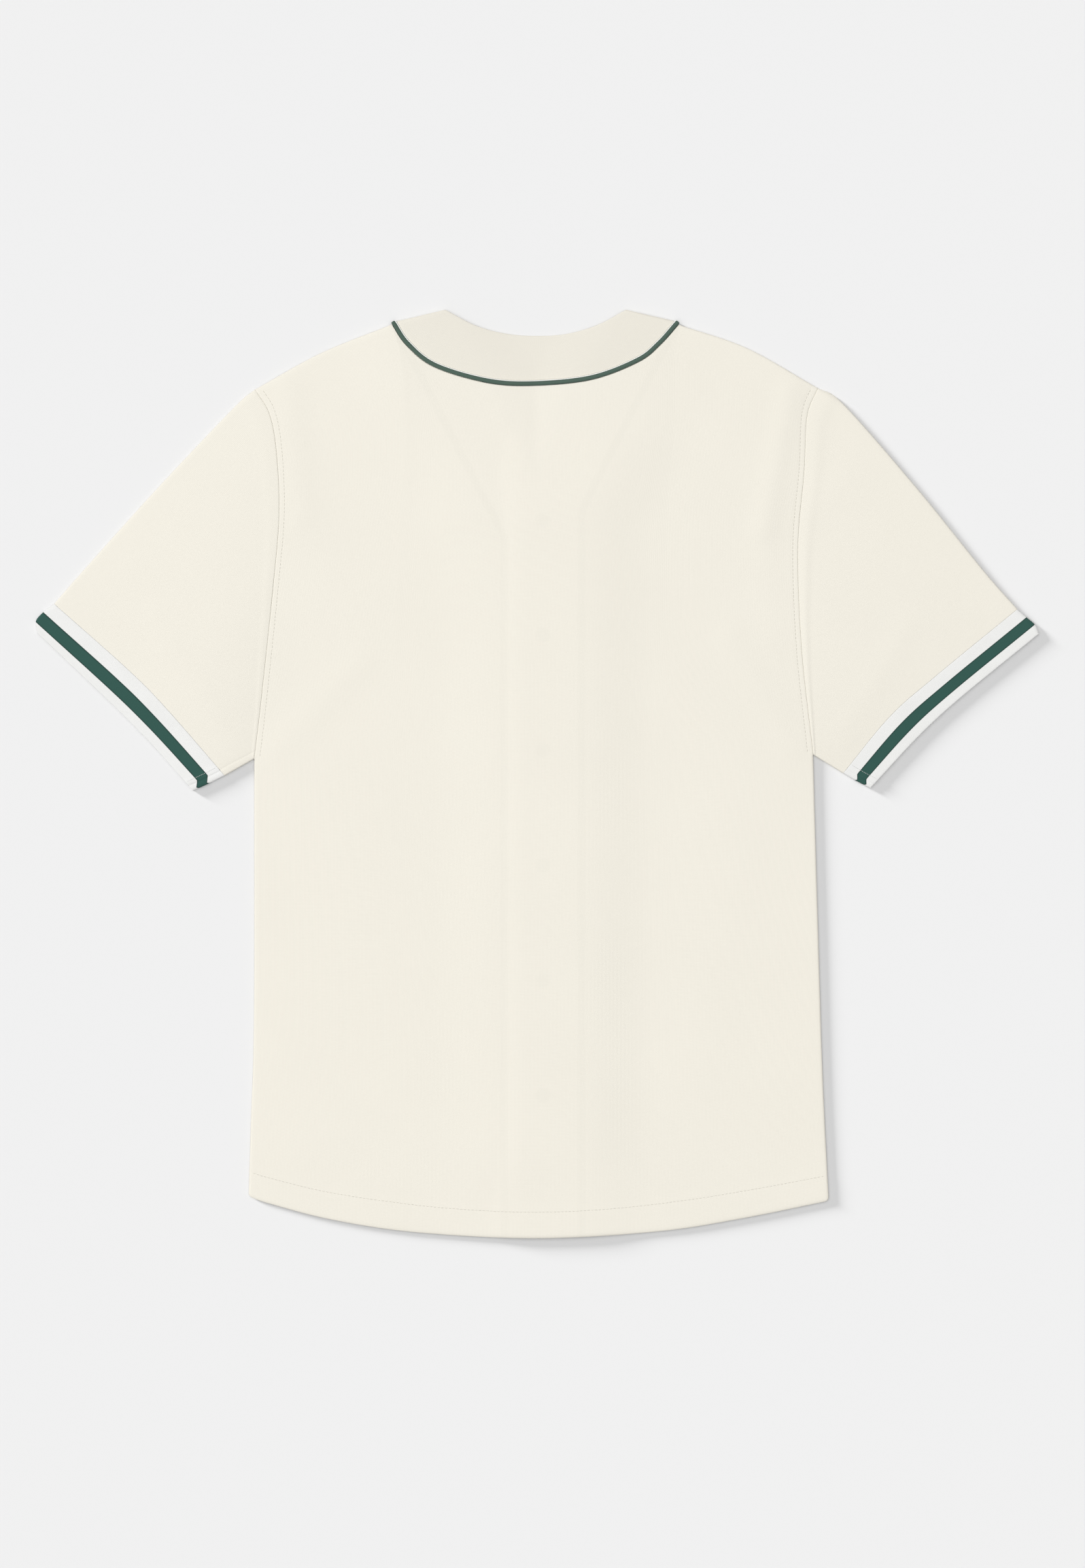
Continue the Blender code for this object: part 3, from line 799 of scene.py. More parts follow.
def moulded_plastic():
    """Moulded plastic with a faint pearly cloud."""
    made, tree, shader = new_material("moulded_plastic", 0.3)
    place = node(tree, "ShaderNodeTexCoord").outputs["Object"]
    inputs = {"Vector": place, "Size": PLASTIC_CLOUD, "Strength": 2.4}
    cloud = use_group(tree, cloudy_group(), inputs)["Factor"]
    colour = tuple(settings().button_colour)
    pearly = blended(tree, cloud, shaded(colour, 0.75), shaded(colour, 1.5))
    tree.links.new(pearly, shader.inputs["Base Color"])
    grain = node(tree, "ShaderNodeMapRange", {"Value": cloud, "To Min": 0.24, "To Max": 0.4})
    tree.links.new(grain.outputs[0], shader.inputs["Roughness"])
    return made


def material(name):
    """Each finish is made once, when a piece first asks for it."""
    found = bpy.data.materials.get(name)
    if found:
        return found
    makers = {
        "cream_knit": lambda: cream_knit("cream_knit"),
        "back_knit": lambda: cream_knit("back_knit", over_front=True),
        "band_knit": lambda: cream_knit("band_knit", settings().band_shade),
        "knitted_tape": knitted_tape,
        "green_cord": lambda: thread_material("green_cord", tuple(settings().piping_green), 0.7),
        "white_cord": lambda: thread_material("white_cord", tuple(settings().edge_white)),
        "cream_thread": lambda: thread_material("cream_thread", shaded(settings().cream, 0.97)),
        "white_thread": lambda: thread_material("white_thread", tuple(settings().tape_white)),
        "button_thread": lambda: thread_material("button_thread", shaded(settings().button_colour, 1.6)),
        "moulded_plastic": moulded_plastic,
    }
    return makers[name]()


# Making pieces

def finished(name, mesh, finish, stands_for=()):
    """Turns a bmesh in millimetres into a piece in metres that rides on the garment."""
    bmesh.ops.scale(mesh, vec=(MM, MM, MM), verts=mesh.verts)
    data = bpy.data.meshes.new(name)
    mesh.to_mesh(data)
    mesh.free()
    data.shade_smooth()
    data.materials.append(material(finish))
    piece = bpy.data.objects.new(name, data)
    bpy.context.scene.collection.objects.link(piece)
    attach(piece, "root")
    if stands_for:
        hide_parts(*stands_for)
    return piece


def give_wall(piece, thickness, offset):
    """Thickness in metres, to the side of the normals for an offset of 1 and to the other for -1."""
    wall = piece.modifiers.new("Wall", "SOLIDIFY")
    wall.thickness = thickness
    wall.offset = offset
    wall.use_even_offset = False
    edge = piece.modifiers.new("Edge", "BEVEL")
    edge.width = EDGE_BEVEL * MM
    edge.segments = 2
    edge.limit_method = "ANGLE"
    edge.angle_limit = BEVEL_ANGLE
    return piece


def sheet(name, place, columns, rows, grain, finish, stands_for, offset):
    """A fine cloth panel. place(u, v) gives a point of one face, grain is its cut size in millimetres."""
    mesh = bmesh.new()
    uv = mesh.loops.layers.uv.new("cloth")
    across, along = len(columns) - 1, len(rows) - 1
    bmesh.ops.create_grid(mesh, x_segments=across, y_segments=along, size=0.5)
    shares = {
        vert: (columns[round((vert.co.x + 0.5) * across)], rows[round((vert.co.y + 0.5) * along)])
        for vert in mesh.verts
    }
    for face in mesh.faces:
        for loop in face.loops:
            u, v = shares[loop.vert]
            loop[uv].uv = (u * grain[0] * MM, v * grain[1] * MM)
    for vert, (u, v) in shares.items():
        vert.co = place(u, v)
    mesh.normal_update()
    if sum(face.normal.z for face in mesh.faces) < 0:
        bmesh.ops.reverse_faces(mesh, faces=mesh.faces)
    piece = finished(name, mesh, finish, stands_for)
    return give_wall(piece, settings().cloth_thickness, offset)


def skin(rings, around, along, capped):
    """A surface drawn from ring to ring. around and along give the UV map, in millimetres."""
    mesh = bmesh.new()
    uv = mesh.loops.layers.uv.new("cloth")
    place = mesh.verts.layers.int.new("place")
    row = mesh.verts.layers.int.new("row")
    verts = [mesh.verts.new(point) for point in rings[0]]
    for index, vert in enumerate(verts):
        vert[place] = index
    first = [mesh.edges.new(pair) for pair in zip(verts, verts[1:] + verts[:1])]
    edges = first
    for number, ring in enumerate(rings[1:], start=1):
        drawn = bmesh.ops.extrude_edge_only(mesh, edges=edges)["geom"]
        edges = [item for item in drawn if isinstance(item, bmesh.types.BMEdge)]
        for vert in (item for item in drawn if isinstance(item, bmesh.types.BMVert)):
            vert.co = ring[vert[place]]
            vert[row] = number
    last = len(verts) - 1
    for face in mesh.faces:
        closes = any(loop.vert[place] == last for loop in face.loops)
        for loop in face.loops:
            index = loop.vert[place]
            index = len(verts) if closes and index == 0 else index
            loop[uv].uv = (around[index] * MM, along[loop.vert[row]] * MM)
    if capped:
        bmesh.ops.contextual_create(mesh, geom=first)
        bmesh.ops.contextual_create(mesh, geom=edges)
    bmesh.ops.recalc_face_normals(mesh, faces=mesh.faces)
    return mesh


def near_edge(reach, size, count):
    """Shares of a size that crowd towards its start, for a round edge."""
    return [reach * (1.0 - cos(pi / 2 * step / count)) / size for step in range(count + 1)]


def mirrored(shares):
    return [1.0 - share for share in reversed(shares)]


def filled(shares, step):
    """Adds shares between those of a list, so that no gap is wider than the step."""
    result = [shares[0]]
    for start, end in zip(shares, shares[1:]):
        count = max(1, ceil((end - start) / step))
        result += [start + (end - start) * (index + 1) / count for index in range(count)]
    return result


# The back

def back_area():
    neck = beside(LINES["neck"], -(settings().piping_width / MM / 2 + SEAM))
    shoulders = {
        side: smooth((*SHOULDER[side][:-1], neck(0.0 if side == "left" else 1.0))) for side in SIDES
    }
    sides = {
        side: joined((LINES["side", side], UNDERARM),
                     (beside(LINES["armhole", side], SIGN[side] * SEWN_GAP / 2), 1.0))
        for side in SIDES
    }
    top = joined((shoulders["left"], NECK_LEFT), (neck, NECK_RIGHT), (backward(shoulders["right"]), 1.0))
    return patch(LINES["hem"], top, sides["left"], sides["right"])


def hem_relief(depth):
    """Height that a turned hem adds, at a depth from its edge, with the line of its stitches."""
    step = HEM_STEP * ramp(depth - HEM_DEPTH, 2.0)
    return step - GROOVE["left"] * bell(depth - HEM_STITCH, GROOVE_WIDTH)


def round_corner(across, along):
    """Moves a place near a square corner, given by its distances from two edges, into a round one."""
    p = max(0.0, 1.0 - across / CORNER_RADIUS)
    q = max(0.0, 1.0 - along / CORNER_RADIUS)
    return across + CORNER_RADIUS * p * (1.0 - sqrt(1.0 - q * q / 2)), \
        along + CORNER_RADIUS * q * (1.0 - sqrt(1.0 - p * p / 2))


def back_place(area, u, v):
    """A place of the back's cut shape, its lower corners a little round."""
    across, along = round_corner(min(u, 1.0 - u) * BACK_WIDTH, v * SIDE_LENGTH)
    share = across / BACK_WIDTH
    return area(share if u < 0.5 else 1.0 - share, along / SIDE_LENGTH)


def back_surface(area, u, v):
    """A point of the upper face of the back."""
    place = back_place(area, u, v)
    top = back_height(place.x, place.y) + WALL
    height = top + fold_height(BACK_FOLDS, place.x, place.y)
    height += hem_relief(v * SIDE_LENGTH)
    from_side = min(u, 1.0 - u) * BACK_WIDTH
    from_top = (1.0 - v) * SIDE_LENGTH
    if v < UNDERARM:
        height = ROLLED_EDGE_Z + (height - ROLLED_EDGE_Z) * rounded(from_side, EDGE_ROLL)
    else:
        height -= 0.4 * (1.0 - rounded(from_side, 1.4))
        height -= GROOVE["left" if u < 0.5 else "right"] * bell(from_side - ARM_STITCH_IN, GROOVE_WIDTH)
    if NECK_LEFT <= u <= NECK_RIGHT:
        height -= 0.6 * (1.0 - rounded(from_top, 1.4))
    else:
        height = ROLLED_EDGE_Z + (height - ROLLED_EDGE_Z) * rounded(from_top, EDGE_ROLL)
    height -= HEM_DROP * height * (1.0 - rounded(v * SIDE_LENGTH, HEM_ROLL))
    return Vector((place.x, place.y, max(height, ROLLED_EDGE_Z)))


def make_back():
    area = back_area()
    arm_lines = (ARM_STITCH_IN + off for off in (-0.8, -0.2, 0.2, 0.6, 1.4))
    side = [*near_edge(EDGE_ROLL, BACK_WIDTH, 4), *(x / BACK_WIDTH for x in arm_lines)]
    columns = filled([*side, NECK_LEFT, NECK_RIGHT, *mirrored(side)], 3.1 / BACK_WIDTH)
    hem_lines = [HEM_STITCH + off for off in (-1.2, -0.5, 0.0, 0.5, 1.2)]
    hem = [*near_edge(HEM_ROLL, SIDE_LENGTH, 5), *(y / SIDE_LENGTH for y in (*hem_lines, HEM_DEPTH + 2.0))]
    top = near_edge(EDGE_ROLL, SIDE_LENGTH, 4)
    rows = filled([*hem, UNDERARM - 0.0005, UNDERARM, *mirrored(top)], 3.6 / SIDE_LENGTH)
    piece = sheet("cloth_back", lambda u, v: back_surface(area, u, v), columns, rows,
                  (BACK_WIDTH, SIDE_LENGTH), "back_knit", ("back_panel",), -1.0)


# The neck band

def piping_room():
    """From the middle of a piping to the band beside it, over the piping's white edge."""
    return (settings().piping_width / 2 + settings().flange_width) / MM + SEWN_GAP


def neck_surface(u, v):
    """A point of the upper face of the neck band, v from its seam to the folded edge of the neck."""
    seam = beside(LINES["neck"], piping_room())
    place = seam(u).lerp(LINES["neck_edge"](u), v)
    width = (LINES["neck_edge"](u) - seam(u)).length
    height = back_height(place.x, place.y) + WALL + 0.35 * sin(pi * v)
    height -= 0.3 * (1.0 - rounded(v * width, 1.4))
    low = back_height(place.x, place.y) + 0.2
    height = low + (height - low) * rounded((1.0 - v) * width, 1.6)
    ends = min(u, 1.0 - u) * LINES["neck_edge"].marks[-1]
    height = ROLLED_EDGE_Z + (height - ROLLED_EDGE_Z) * rounded(ends, EDGE_ROLL)
    return Vector((place.x, place.y, height))


def make_neck_band():
    ends = near_edge(EDGE_ROLL, LINES["neck_edge"].marks[-1], 4)
    columns = filled([*ends, *mirrored(ends)], 0.012)
    width = NECK_BAND_WIDTH
    rows = filled([*near_edge(1.4, width, 3), *mirrored(near_edge(1.6, width, 4))], 2.0 / width)
    piece = sheet("cloth_neck_band", neck_surface, columns, rows, (230.0, width), "band_knit",
                  ("neck_band_back",), -1.0)


# The fronts, which lie face down

def front_area(side):
    sign = SIGN[side]
    inner = beside(LINES["band_seam", side], -sign * (settings().piping_width / MM / 2 + SEAM))
    seam = beside(LINES["side", side], sign * UNDER_ROLL)
    armhole = beside(LINES["armhole", side], sign * SEAM / 2)
    top = smooth((armhole(1.0), SHOULDER[side][1], inner(1.0)))
    start_x, end_x = seam(0.0).x, inner(0.0).x

    def hem(share):
        x = start_x + (end_x - start_x) * share
        return Vector((x, LINES["hem"].y_at(x) + FRONT_HEM_RISE))

    side_seam = smooth((hem(0.0), seam(0.2), seam(0.6), seam(1.0)))
    return patch(hem, top, joined((side_seam, UNDERARM), (armhole, 1.0)), inner)


def make_front(side):
    area = front_area(side)

    def place(u, v):
        spot = area(u, v)
        height = front_height(side, spot.x, spot.y) + FACE_LIFT
        height += fold_height(FRONT_FOLDS[side], spot.x, spot.y)
        return Vector((spot.x, spot.y, height))

    columns = stations((1.0, 56))
    rows = filled([0.0, UNDERARM, 1.0 - UNDER_ROLL / SIDE_LENGTH], 4.6 / SIDE_LENGTH)
    piece = sheet(f"cloth_front_{side}", place, columns, rows, (205.0, SIDE_LENGTH), "cream_knit",
                  (f"front_{side}",), 1.0)


def make_front_band(side):
    seam = beside(LINES["band_seam", side], SIGN[side] * piping_room())
    edge = LINES["band_edge", side]

    def place(u, v):
        spot = seam(v).lerp(edge(v), u)
        height = front_height(side, spot.x, spot.y) + FACE_LIFT
        height += 0.3 * (1.0 - rounded((1.0 - u) * BAND_WIDTH, 1.2))
        return Vector((spot.x, spot.y, height))

    columns = filled([0.0, *mirrored(near_edge(1.2, BAND_WIDTH, 3))], 0.05)
    rows = filled([0.0, UNDERARM, 1.0], 3.6 / SIDE_LENGTH)
    piece = sheet(f"cloth_front_band_{side}", place, columns, rows, (BAND_WIDTH, 790.0), "cream_knit",
                  (f"front_band_{side}",), 1.0)


# Sleeves and cuff tapes

TUBE_HEIGHT = 2 * WALL + LAYER_GAP


def sleeve_area(side):
    armhole = backward(beside(LINES["armhole", side], -SIGN[side] * SEWN_GAP / 2))
    return patch(armhole, LINES["cuff_seam", side], LINES["fold", side], LINES["under", side])


def tape_area(side):
    seam = beside(LINES["cuff_seam", side], SIGN[side] * SEWN_GAP)
    fold = smooth((seam(0.0), *CUFF_FOLD[side]))
    under = smooth((seam(1.0), *CUFF_UNDER[side]))
    return patch(seam, LINES["cuff_edge", side], fold, under)


def tube_rings(area, top, shares, sections, girth, turn_steps=6):
    """Rings of a flattened tube and where each of their points lies round it. top(u, v) is its upper face."""
    radius = TUBE_HEIGHT / 2
    turns = [pi * step / turn_steps for step in range(1, turn_steps)]
    rings = []
    for v in sections:
        width = (area(0.0, v) - area(1.0, v)).length
        tuck = radius / width
        inner = [tuck + share * (1.0 - 2 * tuck) for share in shares]
        ring = []
        for u in inner:
            place = area(u, v)
            ring.append((place.x, place.y, top(u, v)))
        for turn in turns:
            place = area(1.0 - tuck * (1.0 - sin(turn)), v)
            ring.append((place.x, place.y, radius + cos(turn) * radius))
        for u in reversed(inner):
            place = area(u, v)
            ring.append((place.x, place.y, 0.0))
        for turn in reversed(turns):
            place = area(tuck * (1.0 - sin(turn)), v)
            ring.append((place.x, place.y, radius + cos(turn) * radius))
        rings.append(ring)
    arc = [girth + radius * 0.5 * index for index in range(1, len(turns) + 1)]
    below = [2 * girth + 3.0 - share * girth for share in reversed(shares)]
    closing = [2 * girth + 3.0 + radius * 0.5 * index for index in range(1, len(turns) + 2)]
    around = [share * girth for share in shares] + arc + below + closing
    return rings, around


def sleeve_top(side, area, u, v):
    """Height of the upper face of a sleeve, v from the armhole to the cuff."""
    place = area(u, v)
    across = (area(0.0, v) - area(1.0, v)).length
    height = TUBE_HEIGHT + SLEEVE_LOFT * sin(pi * u) * sin(pi * v)
    height += fold_height(SLEEVE_FOLDS[side], place.x, place.y) * sin(pi * min(max(u, 0.0), 1.0)) ** 0.5
    from_arm, from_cuff = v * SLEEVE_LENGTH, (1.0 - v) * SLEEVE_LENGTH
    height -= 0.4 * (1.0 - rounded(from_arm, 1.6))
    height += ARM_RISE[side] * bell(from_arm - 9.0, 6.0)
    height -= 0.15 * (1.0 - rounded(from_cuff, 1.0))
    from_under = (1.0 - u) * across
    height -= 0.3 * bell(from_under - UNDERARM_SEAM_IN, 0.9)
    return height


def make_sleeve(side):
    area = sleeve_area(side)
    seam = [1.0 - x / SLEEVE_WIDTH for x in (9.2, 8.3, 7.5, 6.7, 6.0, 5.3, 4.7, 4.1, 3.5)]
    shares = filled([0.0, *seam, 1.0], 0.0125)
    arm_end, cuff_end = near_edge(1.8, SLEEVE_LENGTH, 3), near_edge(1.2, SLEEVE_LENGTH, 3)
    sections = filled([*arm_end, *mirrored(cuff_end)], 0.0125)
    rings, around = tube_rings(
        area, lambda u, v: sleeve_top(side, area, u, v), shares, sections, SLEEVE_GIRTH)
    mesh = skin(rings, around, [SLEEVE_LENGTH * v for v in sections], capped=False)
    piece = finished(f"cloth_sleeve_{side}", mesh, "cream_knit", (f"sleeve_{side}",))
    give_wall(piece, settings().cloth_thickness, -1.0)


def tape_top(side, area, u, v):
    """Height of the upper face of a cuff tape, v from its seam to its free edge."""
    across = (area(0.0, v) - area(1.0, v)).length
    from_under = (1.0 - u) * across
    height = TUBE_HEIGHT + TAPE_PROUD
    doubled = ramp(TAPE_SEAM_IN[side] - from_under, 0.5) * ramp(from_under - TAPE_STITCH_IN - 1.0, 1.0)
    height += 0.25 * doubled
    height -= 0.5 * bell(from_under - TAPE_SEAM_IN[side], 0.55)
    height -= 0.25 * (1.0 - rounded(v * TAPE_WIDTH, 0.9))
    height -= 0.8 * (1.0 - rounded((1.0 - v) * TAPE_WIDTH, 1.2))
    return height


def turn_stripe(mesh, side, girth):
    """Turns the stripe where the tape's other end goes on past the seam, down round the fold."""
    uv = mesh.loops.layers.uv["cloth"]
    for face in mesh.faces:
        for loop in face.loops:
            from_fold = abs(loop[uv].uv.x / MM - girth)
            loop[uv].uv.y -= 0.9 * max(0.0, TAPE_SEAM_IN[side] - from_fold) * MM


def make_tape(side):
    area = tape_area(side)
    girth = TAPE_GIRTH
    radius = TUBE_HEIGHT / 2
    groove = TAPE_SEAM_IN[side]
    lines = (TAPE_STITCH_IN + 2.0, TAPE_STITCH_IN + 1.0, groove + 1.0, groove + 0.5, groove, groove - 0.5,
             groove - 1.0)
    seam = [1.0 - (line - radius) / (girth - 2 * radius) for line in lines]
    shares = filled([0.0, *seam, 1.0], 0.012)
    sections = filled([*near_edge(1.0, TAPE_WIDTH, 3), *mirrored(near_edge(1.2, TAPE_WIDTH, 3))], 0.06)
    rings, around = tube_rings(area, lambda u, v: tape_top(side, area, u, v), shares, sections, girth)
    mesh = skin(rings, around, [TAPE_WIDTH * v for v in sections], capped=False)
    turn_stripe(mesh, side, girth)
    piece = finished(f"tape_cuff_{side}", mesh, "knitted_tape", (f"cuff_tape_{side}",))
    give_wall(piece, settings().cloth_thickness, -1.0)


# Piping

# Shares of a cord's length where it narrows to its end
TIP_SHARE = 0.0004
END_SHARE = 0.0015


def cord(name, spot, count, width, height, finish, stands_for=()):
    """A cord along a line. spot(share) gives its middle and the direction across it."""
    sides = 14
    end = [0.0, TIP_SHARE, END_SHARE]
    shares = [*end, *(step / count for step in range(1, count)), *mirrored(end)]
    narrow = {0.0: 0.8, TIP_SHARE: 0.95, 1.0 - TIP_SHARE: 0.95, 1.0: 0.8}
    turns = [2 * pi * step / sides for step in range(sides)]
    rings, along = [], [0.0]
    for share in shares:
        centre, across = spot(share)
        size = narrow.get(share, 1.0)
        rings.append([
            centre + Vector((across.x, across.y, 0.0)) * (cos(turn) * width / 2 * size)
            + Vector((0.0, 0.0, sin(turn) * height / 2 * size)) for turn in turns
        ])
        if len(rings) > 1:
            along.append(along[-1] + (centre - before).length)
        before = centre
    around = [pi * width * step / sides for step in range(sides + 1)]
    return finished(name, skin(rings, around, along, capped=True), finish, stands_for)


def stretched(track, share, ends):
    """A point of a track that runs past its ends by the given lengths."""
    across = track.normal(share)
    along = Vector((across.y, -across.x))
    place = track(share)
    if share <= END_SHARE:
        place = place - along * ends[0] * (1.0 - share / END_SHARE)
    if share >= 1.0 - END_SHARE:
        place = place + along * ends[1] * (1.0 - (1.0 - share) / END_SHARE)
    return place, across


def neck_cord_spot(share, shift=0.0, rise=0.0):
    place, across = stretched(LINES["neck"], share, (PIPING_END, PIPING_END))
    height = back_height(place.x, place.y) + WALL
    place = place + across * shift
    return Vector((place.x, place.y, height + rise)), across


def front_cord_spot(side, share, shift=0.0, rise=0.0):
    place, across = stretched(LINES["band_seam", side], share, (0.0, PIPING_END))
    height = max(front_height(side, place.x, place.y) + FACE_LIFT, PIPING_HEIGHT / 2)
    place = place + across * shift
    return Vector((place.x, place.y, height + rise)), across


def make_pipings():
    width = settings().piping_width / MM
    flange = settings().flange_width / MM
    beyond = width / 2 + flange / 2
    cord("cord_back_neck", neck_cord_spot, 150, width, PIPING_HEIGHT, "green_cord",
         ("piping_back_neck",))
    cord("cord_edge_back_neck", lambda share: neck_cord_spot(share, beyond, 0.1), 150, flange, 1.3,
         "white_cord")
    for side in SIDES:
        cord(f"cord_front_{side}", lambda share, side=side: front_cord_spot(side, share), 220, width,
             PIPING_HEIGHT, "green_cord", (f"piping_front_{side}",))
        inward = SIGN[side] * beyond
        cord(f"cord_edge_front_{side}", lambda share, side=side, inward=inward: front_cord_spot(
             side, share, inward, 0.1), 220, flange, 1.3, "white_cord")


# Buttons

# Section of a button, from the edge of its well round the rim to the back. Columns: share of radius, share
# of thickness from the outer face.
BUTTON_PROFILE = (
    (0.58, 0.26),
    (0.70, 0.12),
    (0.79, 0.02),
    (0.89, 0.0),
    (0.97, 0.1),
    (1.0, 0.3),
    (1.0, 0.6),
    (0.95, 0.88),
    (0.86, 1.0),
    (0.58, 1.0),
)


def button_y(number):
    return BUTTON_TOP_Y - (number - 1) * BUTTON_PITCH


def button_holes(number):
    """The middle of each hole, seen from above."""
    return [Vector((PLACKET_X + x, button_y(number) + y)) for x in (-HOLE_OFF, HOLE_OFF)
            for y in (-HOLE_OFF, HOLE_OFF)]


def fill_but_holes(mesh, rim, number):
    """Closes a level rim but for the holes. Gives the edges round each hole."""
    holes = []
    height = rim[0].verts[0].co.z
    for centre in button_holes(number):
        place = Matrix.Translation((centre.x, centre.y, height))
        verts = bmesh.ops.create_circle(mesh, segments=12, radius=HOLE_RADIUS, matrix=place)["verts"]
        holes.append(list({edge for vert in verts for edge in vert.link_edges}))
    bmesh.ops.triangle_fill(mesh, use_beauty=True, edges=[*rim, *(edge for hole in holes for edge in hole)])
    return holes


def make_button(number):
    """A rimmed disc with four holes, its outer face down."""
    now = settings()
    radius, thick = now.button_diameter / MM / 2, now.button_thickness / MM
    sides = 48
    turns = [2 * pi * step / sides for step in range(sides)]
    centre = Vector((PLACKET_X, button_y(number), BUTTON_FACE_Z))
    spokes = [Vector((cos(turn), sin(turn), 0.0)) * radius for turn in turns]
    rings = [
        [centre + spoke * out + Vector((0.0, 0.0, thick * rise)) for spoke in spokes]
        for out, rise in BUTTON_PROFILE
    ]
    around = [2 * pi * radius * step / sides for step in range(sides + 1)]
    along = [radius * step / len(rings) for step in range(len(rings))]
    mesh = skin(rings, around, along, capped=False)
    rims = [edge for edge in mesh.edges if edge.is_boundary]
    outer = [edge for edge in rims if edge.verts[0].co.z < BUTTON_FACE_Z + thick / 2]
    inner = [edge for edge in rims if edge not in outer]
    for pair in zip(fill_but_holes(mesh, outer, number), fill_but_holes(mesh, inner, number)):
        bmesh.ops.bridge_loops(mesh, edges=[edge for hole in pair for edge in hole])
    bmesh.ops.recalc_face_normals(mesh, faces=mesh.faces)
    piece = finished(f"sewn_button_{number}", mesh, "moulded_plastic",
                     (f"button_{number}",))
    piece.data.set_sharp_from_angle(angle=0.7)


# Sewing

def stitch_shape():
    """One plump stitch of size 1 along X, kept as the pattern for all of them."""
    found = bpy.data.meshes.get("stitch")
    if found:
        return found
    mesh = bmesh.new()
    mesh.loops.layers.uv.new("cloth")
    bmesh.ops.create_uvsphere(mesh, u_segments=6, v_segments=4, radius=0.5, calc_uvs=True)
    made = bpy.data.meshes.new("stitch")
    mesh.to_mesh(made)
    mesh.free()
    return made


def stitch(mesh, centre, along, length, width):
    """A short thread at a place, along a direction."""
    turn = along.to_track_quat("X", "Z").to_matrix().to_4x4()
    shape = stitch_shape().copy()
    shape.transform(Matrix.Translation(centre) @ turn @ Matrix.Diagonal((length, width, width, 1.0)))
    mesh.from_mesh(shape)
    bpy.data.meshes.remove(shape)


def stitch_row(mesh, spot, start=0.0, end=1.0, pitch=None, length=None, samples=160):
    """Stitches along a line of points, spaced by their real distance."""
    now = settings()
    pitch = pitch or now.stitch_pitch / MM
    length = length or now.stitch_length / MM
    shares = [start + (end - start) * step / samples for step in range(samples + 1)]
    points = [spot(share) for share in shares]
    marks = [0.0, *accumulate((b - a).length for a, b in zip(points, points[1:]))]
    count = int(marks[-1] / pitch)
    for number in range(count):
        distance = (number + 0.5) * marks[-1] / count
        index = min(max(bisect_left(marks, distance), 1), len(points) - 1)
        share = (distance - marks[index - 1]) / (marks[index] - marks[index - 1])
        centre = points[index - 1].lerp(points[index], share)
        stitch(mesh, centre, points[index] - points[index - 1], length, now.thread_width / MM)


def new_sewing():
    mesh = bmesh.new()
    mesh.loops.layers.uv.new("cloth")
    return mesh


def make_back_sewing():
    area = back_area()
    mesh = new_sewing()
    hem_share = HEM_STITCH / SIDE_LENGTH
    sink = Vector((0.0, 0.0, 0.02))
    stitch_row(mesh, lambda share: back_surface(area, share, hem_share) + sink, 0.006, 0.994)
    inside = ARM_STITCH_IN / BACK_WIDTH
    for u in (inside, 1.0 - inside):
        stitch_row(mesh, lambda share, u=u: back_surface(area, u, share) + sink, UNDERARM + 0.002, 0.994)
    finished("sewing_back", mesh, "cream_thread")


def make_tape_sewing():
    mesh = new_sewing()
    for side in SIDES:
        area = tape_area(side)

        def spot(v, area=area, side=side):
            across = (area(0.0, v) - area(1.0, v)).length
            u = 1.0 - TAPE_STITCH_IN / across
            place = area(u, v)
            return Vector((place.x, place.y, tape_top(side, area, u, v) + 0.05))

        stitch_row(mesh, spot, 0.06, 0.94, pitch=1.5, length=1.25, samples=40)
    finished("sewing_tapes", mesh, "white_thread")


def make_front_sewing():
    """Rows on the outer face of the fronts, which faces down."""
    mesh = new_sewing()
    for side in SIDES:
        sign = SIGN[side]
        seam = beside(LINES["band_seam", side], -sign * PIPING_STITCH_OUT)
        edge = beside(LINES["band_edge", side], -sign * PLACKET_STITCH_IN)
        for line, finish in ((seam, 0.985), (edge, 0.975)):
            def spot(share, line=line, side=side):
                place = line(share)
                return Vector((place.x, place.y, front_height(side, place.x, place.y) + FACE_LIFT - 0.02))
            stitch_row(mesh, spot, 0.004, finish, samples=240)
        area = front_area(side)

        def hem_spot(u, area=area, side=side):
            place = area(u, HEM_DEPTH / SIDE_LENGTH)
            return Vector((place.x, place.y, front_height(side, place.x, place.y) + FACE_LIFT - 0.02))
        stitch_row(mesh, hem_spot, 0.01, 0.99)
    finished("sewing_fronts", mesh, "cream_thread")


def make_button_sewing():
    """Two bars of thread across the holes of each button, and the thread down through them."""
    now = settings()
    width = now.thread_width / MM
    well = BUTTON_FACE_Z + BUTTON_PROFILE[0][1] * now.button_thickness / MM
    top = PLACKET_LIFT + FACE_LIFT
    mesh = new_sewing()
    for number in range(1, BUTTON_COUNT + 1):
        for hole in button_holes(number):
            for off in (-0.2, 0.2):
                centre = Vector((hole.x + off, hole.y, (well + top) / 2))
                stitch(mesh, centre, Vector((0.0, 0.0, 1.0)), top - well + 0.3, width)
        for y in (-HOLE_OFF, HOLE_OFF):
            for off in (-0.3, 0.0, 0.3):
                centre = Vector((PLACKET_X, button_y(number) + y + off, well - 0.12))
                stitch(mesh, centre, Vector((1.0, off / 3, 0.0)), 2 * HOLE_OFF + 0.7, width)
    finished("sewing_buttons", mesh, "button_thread")


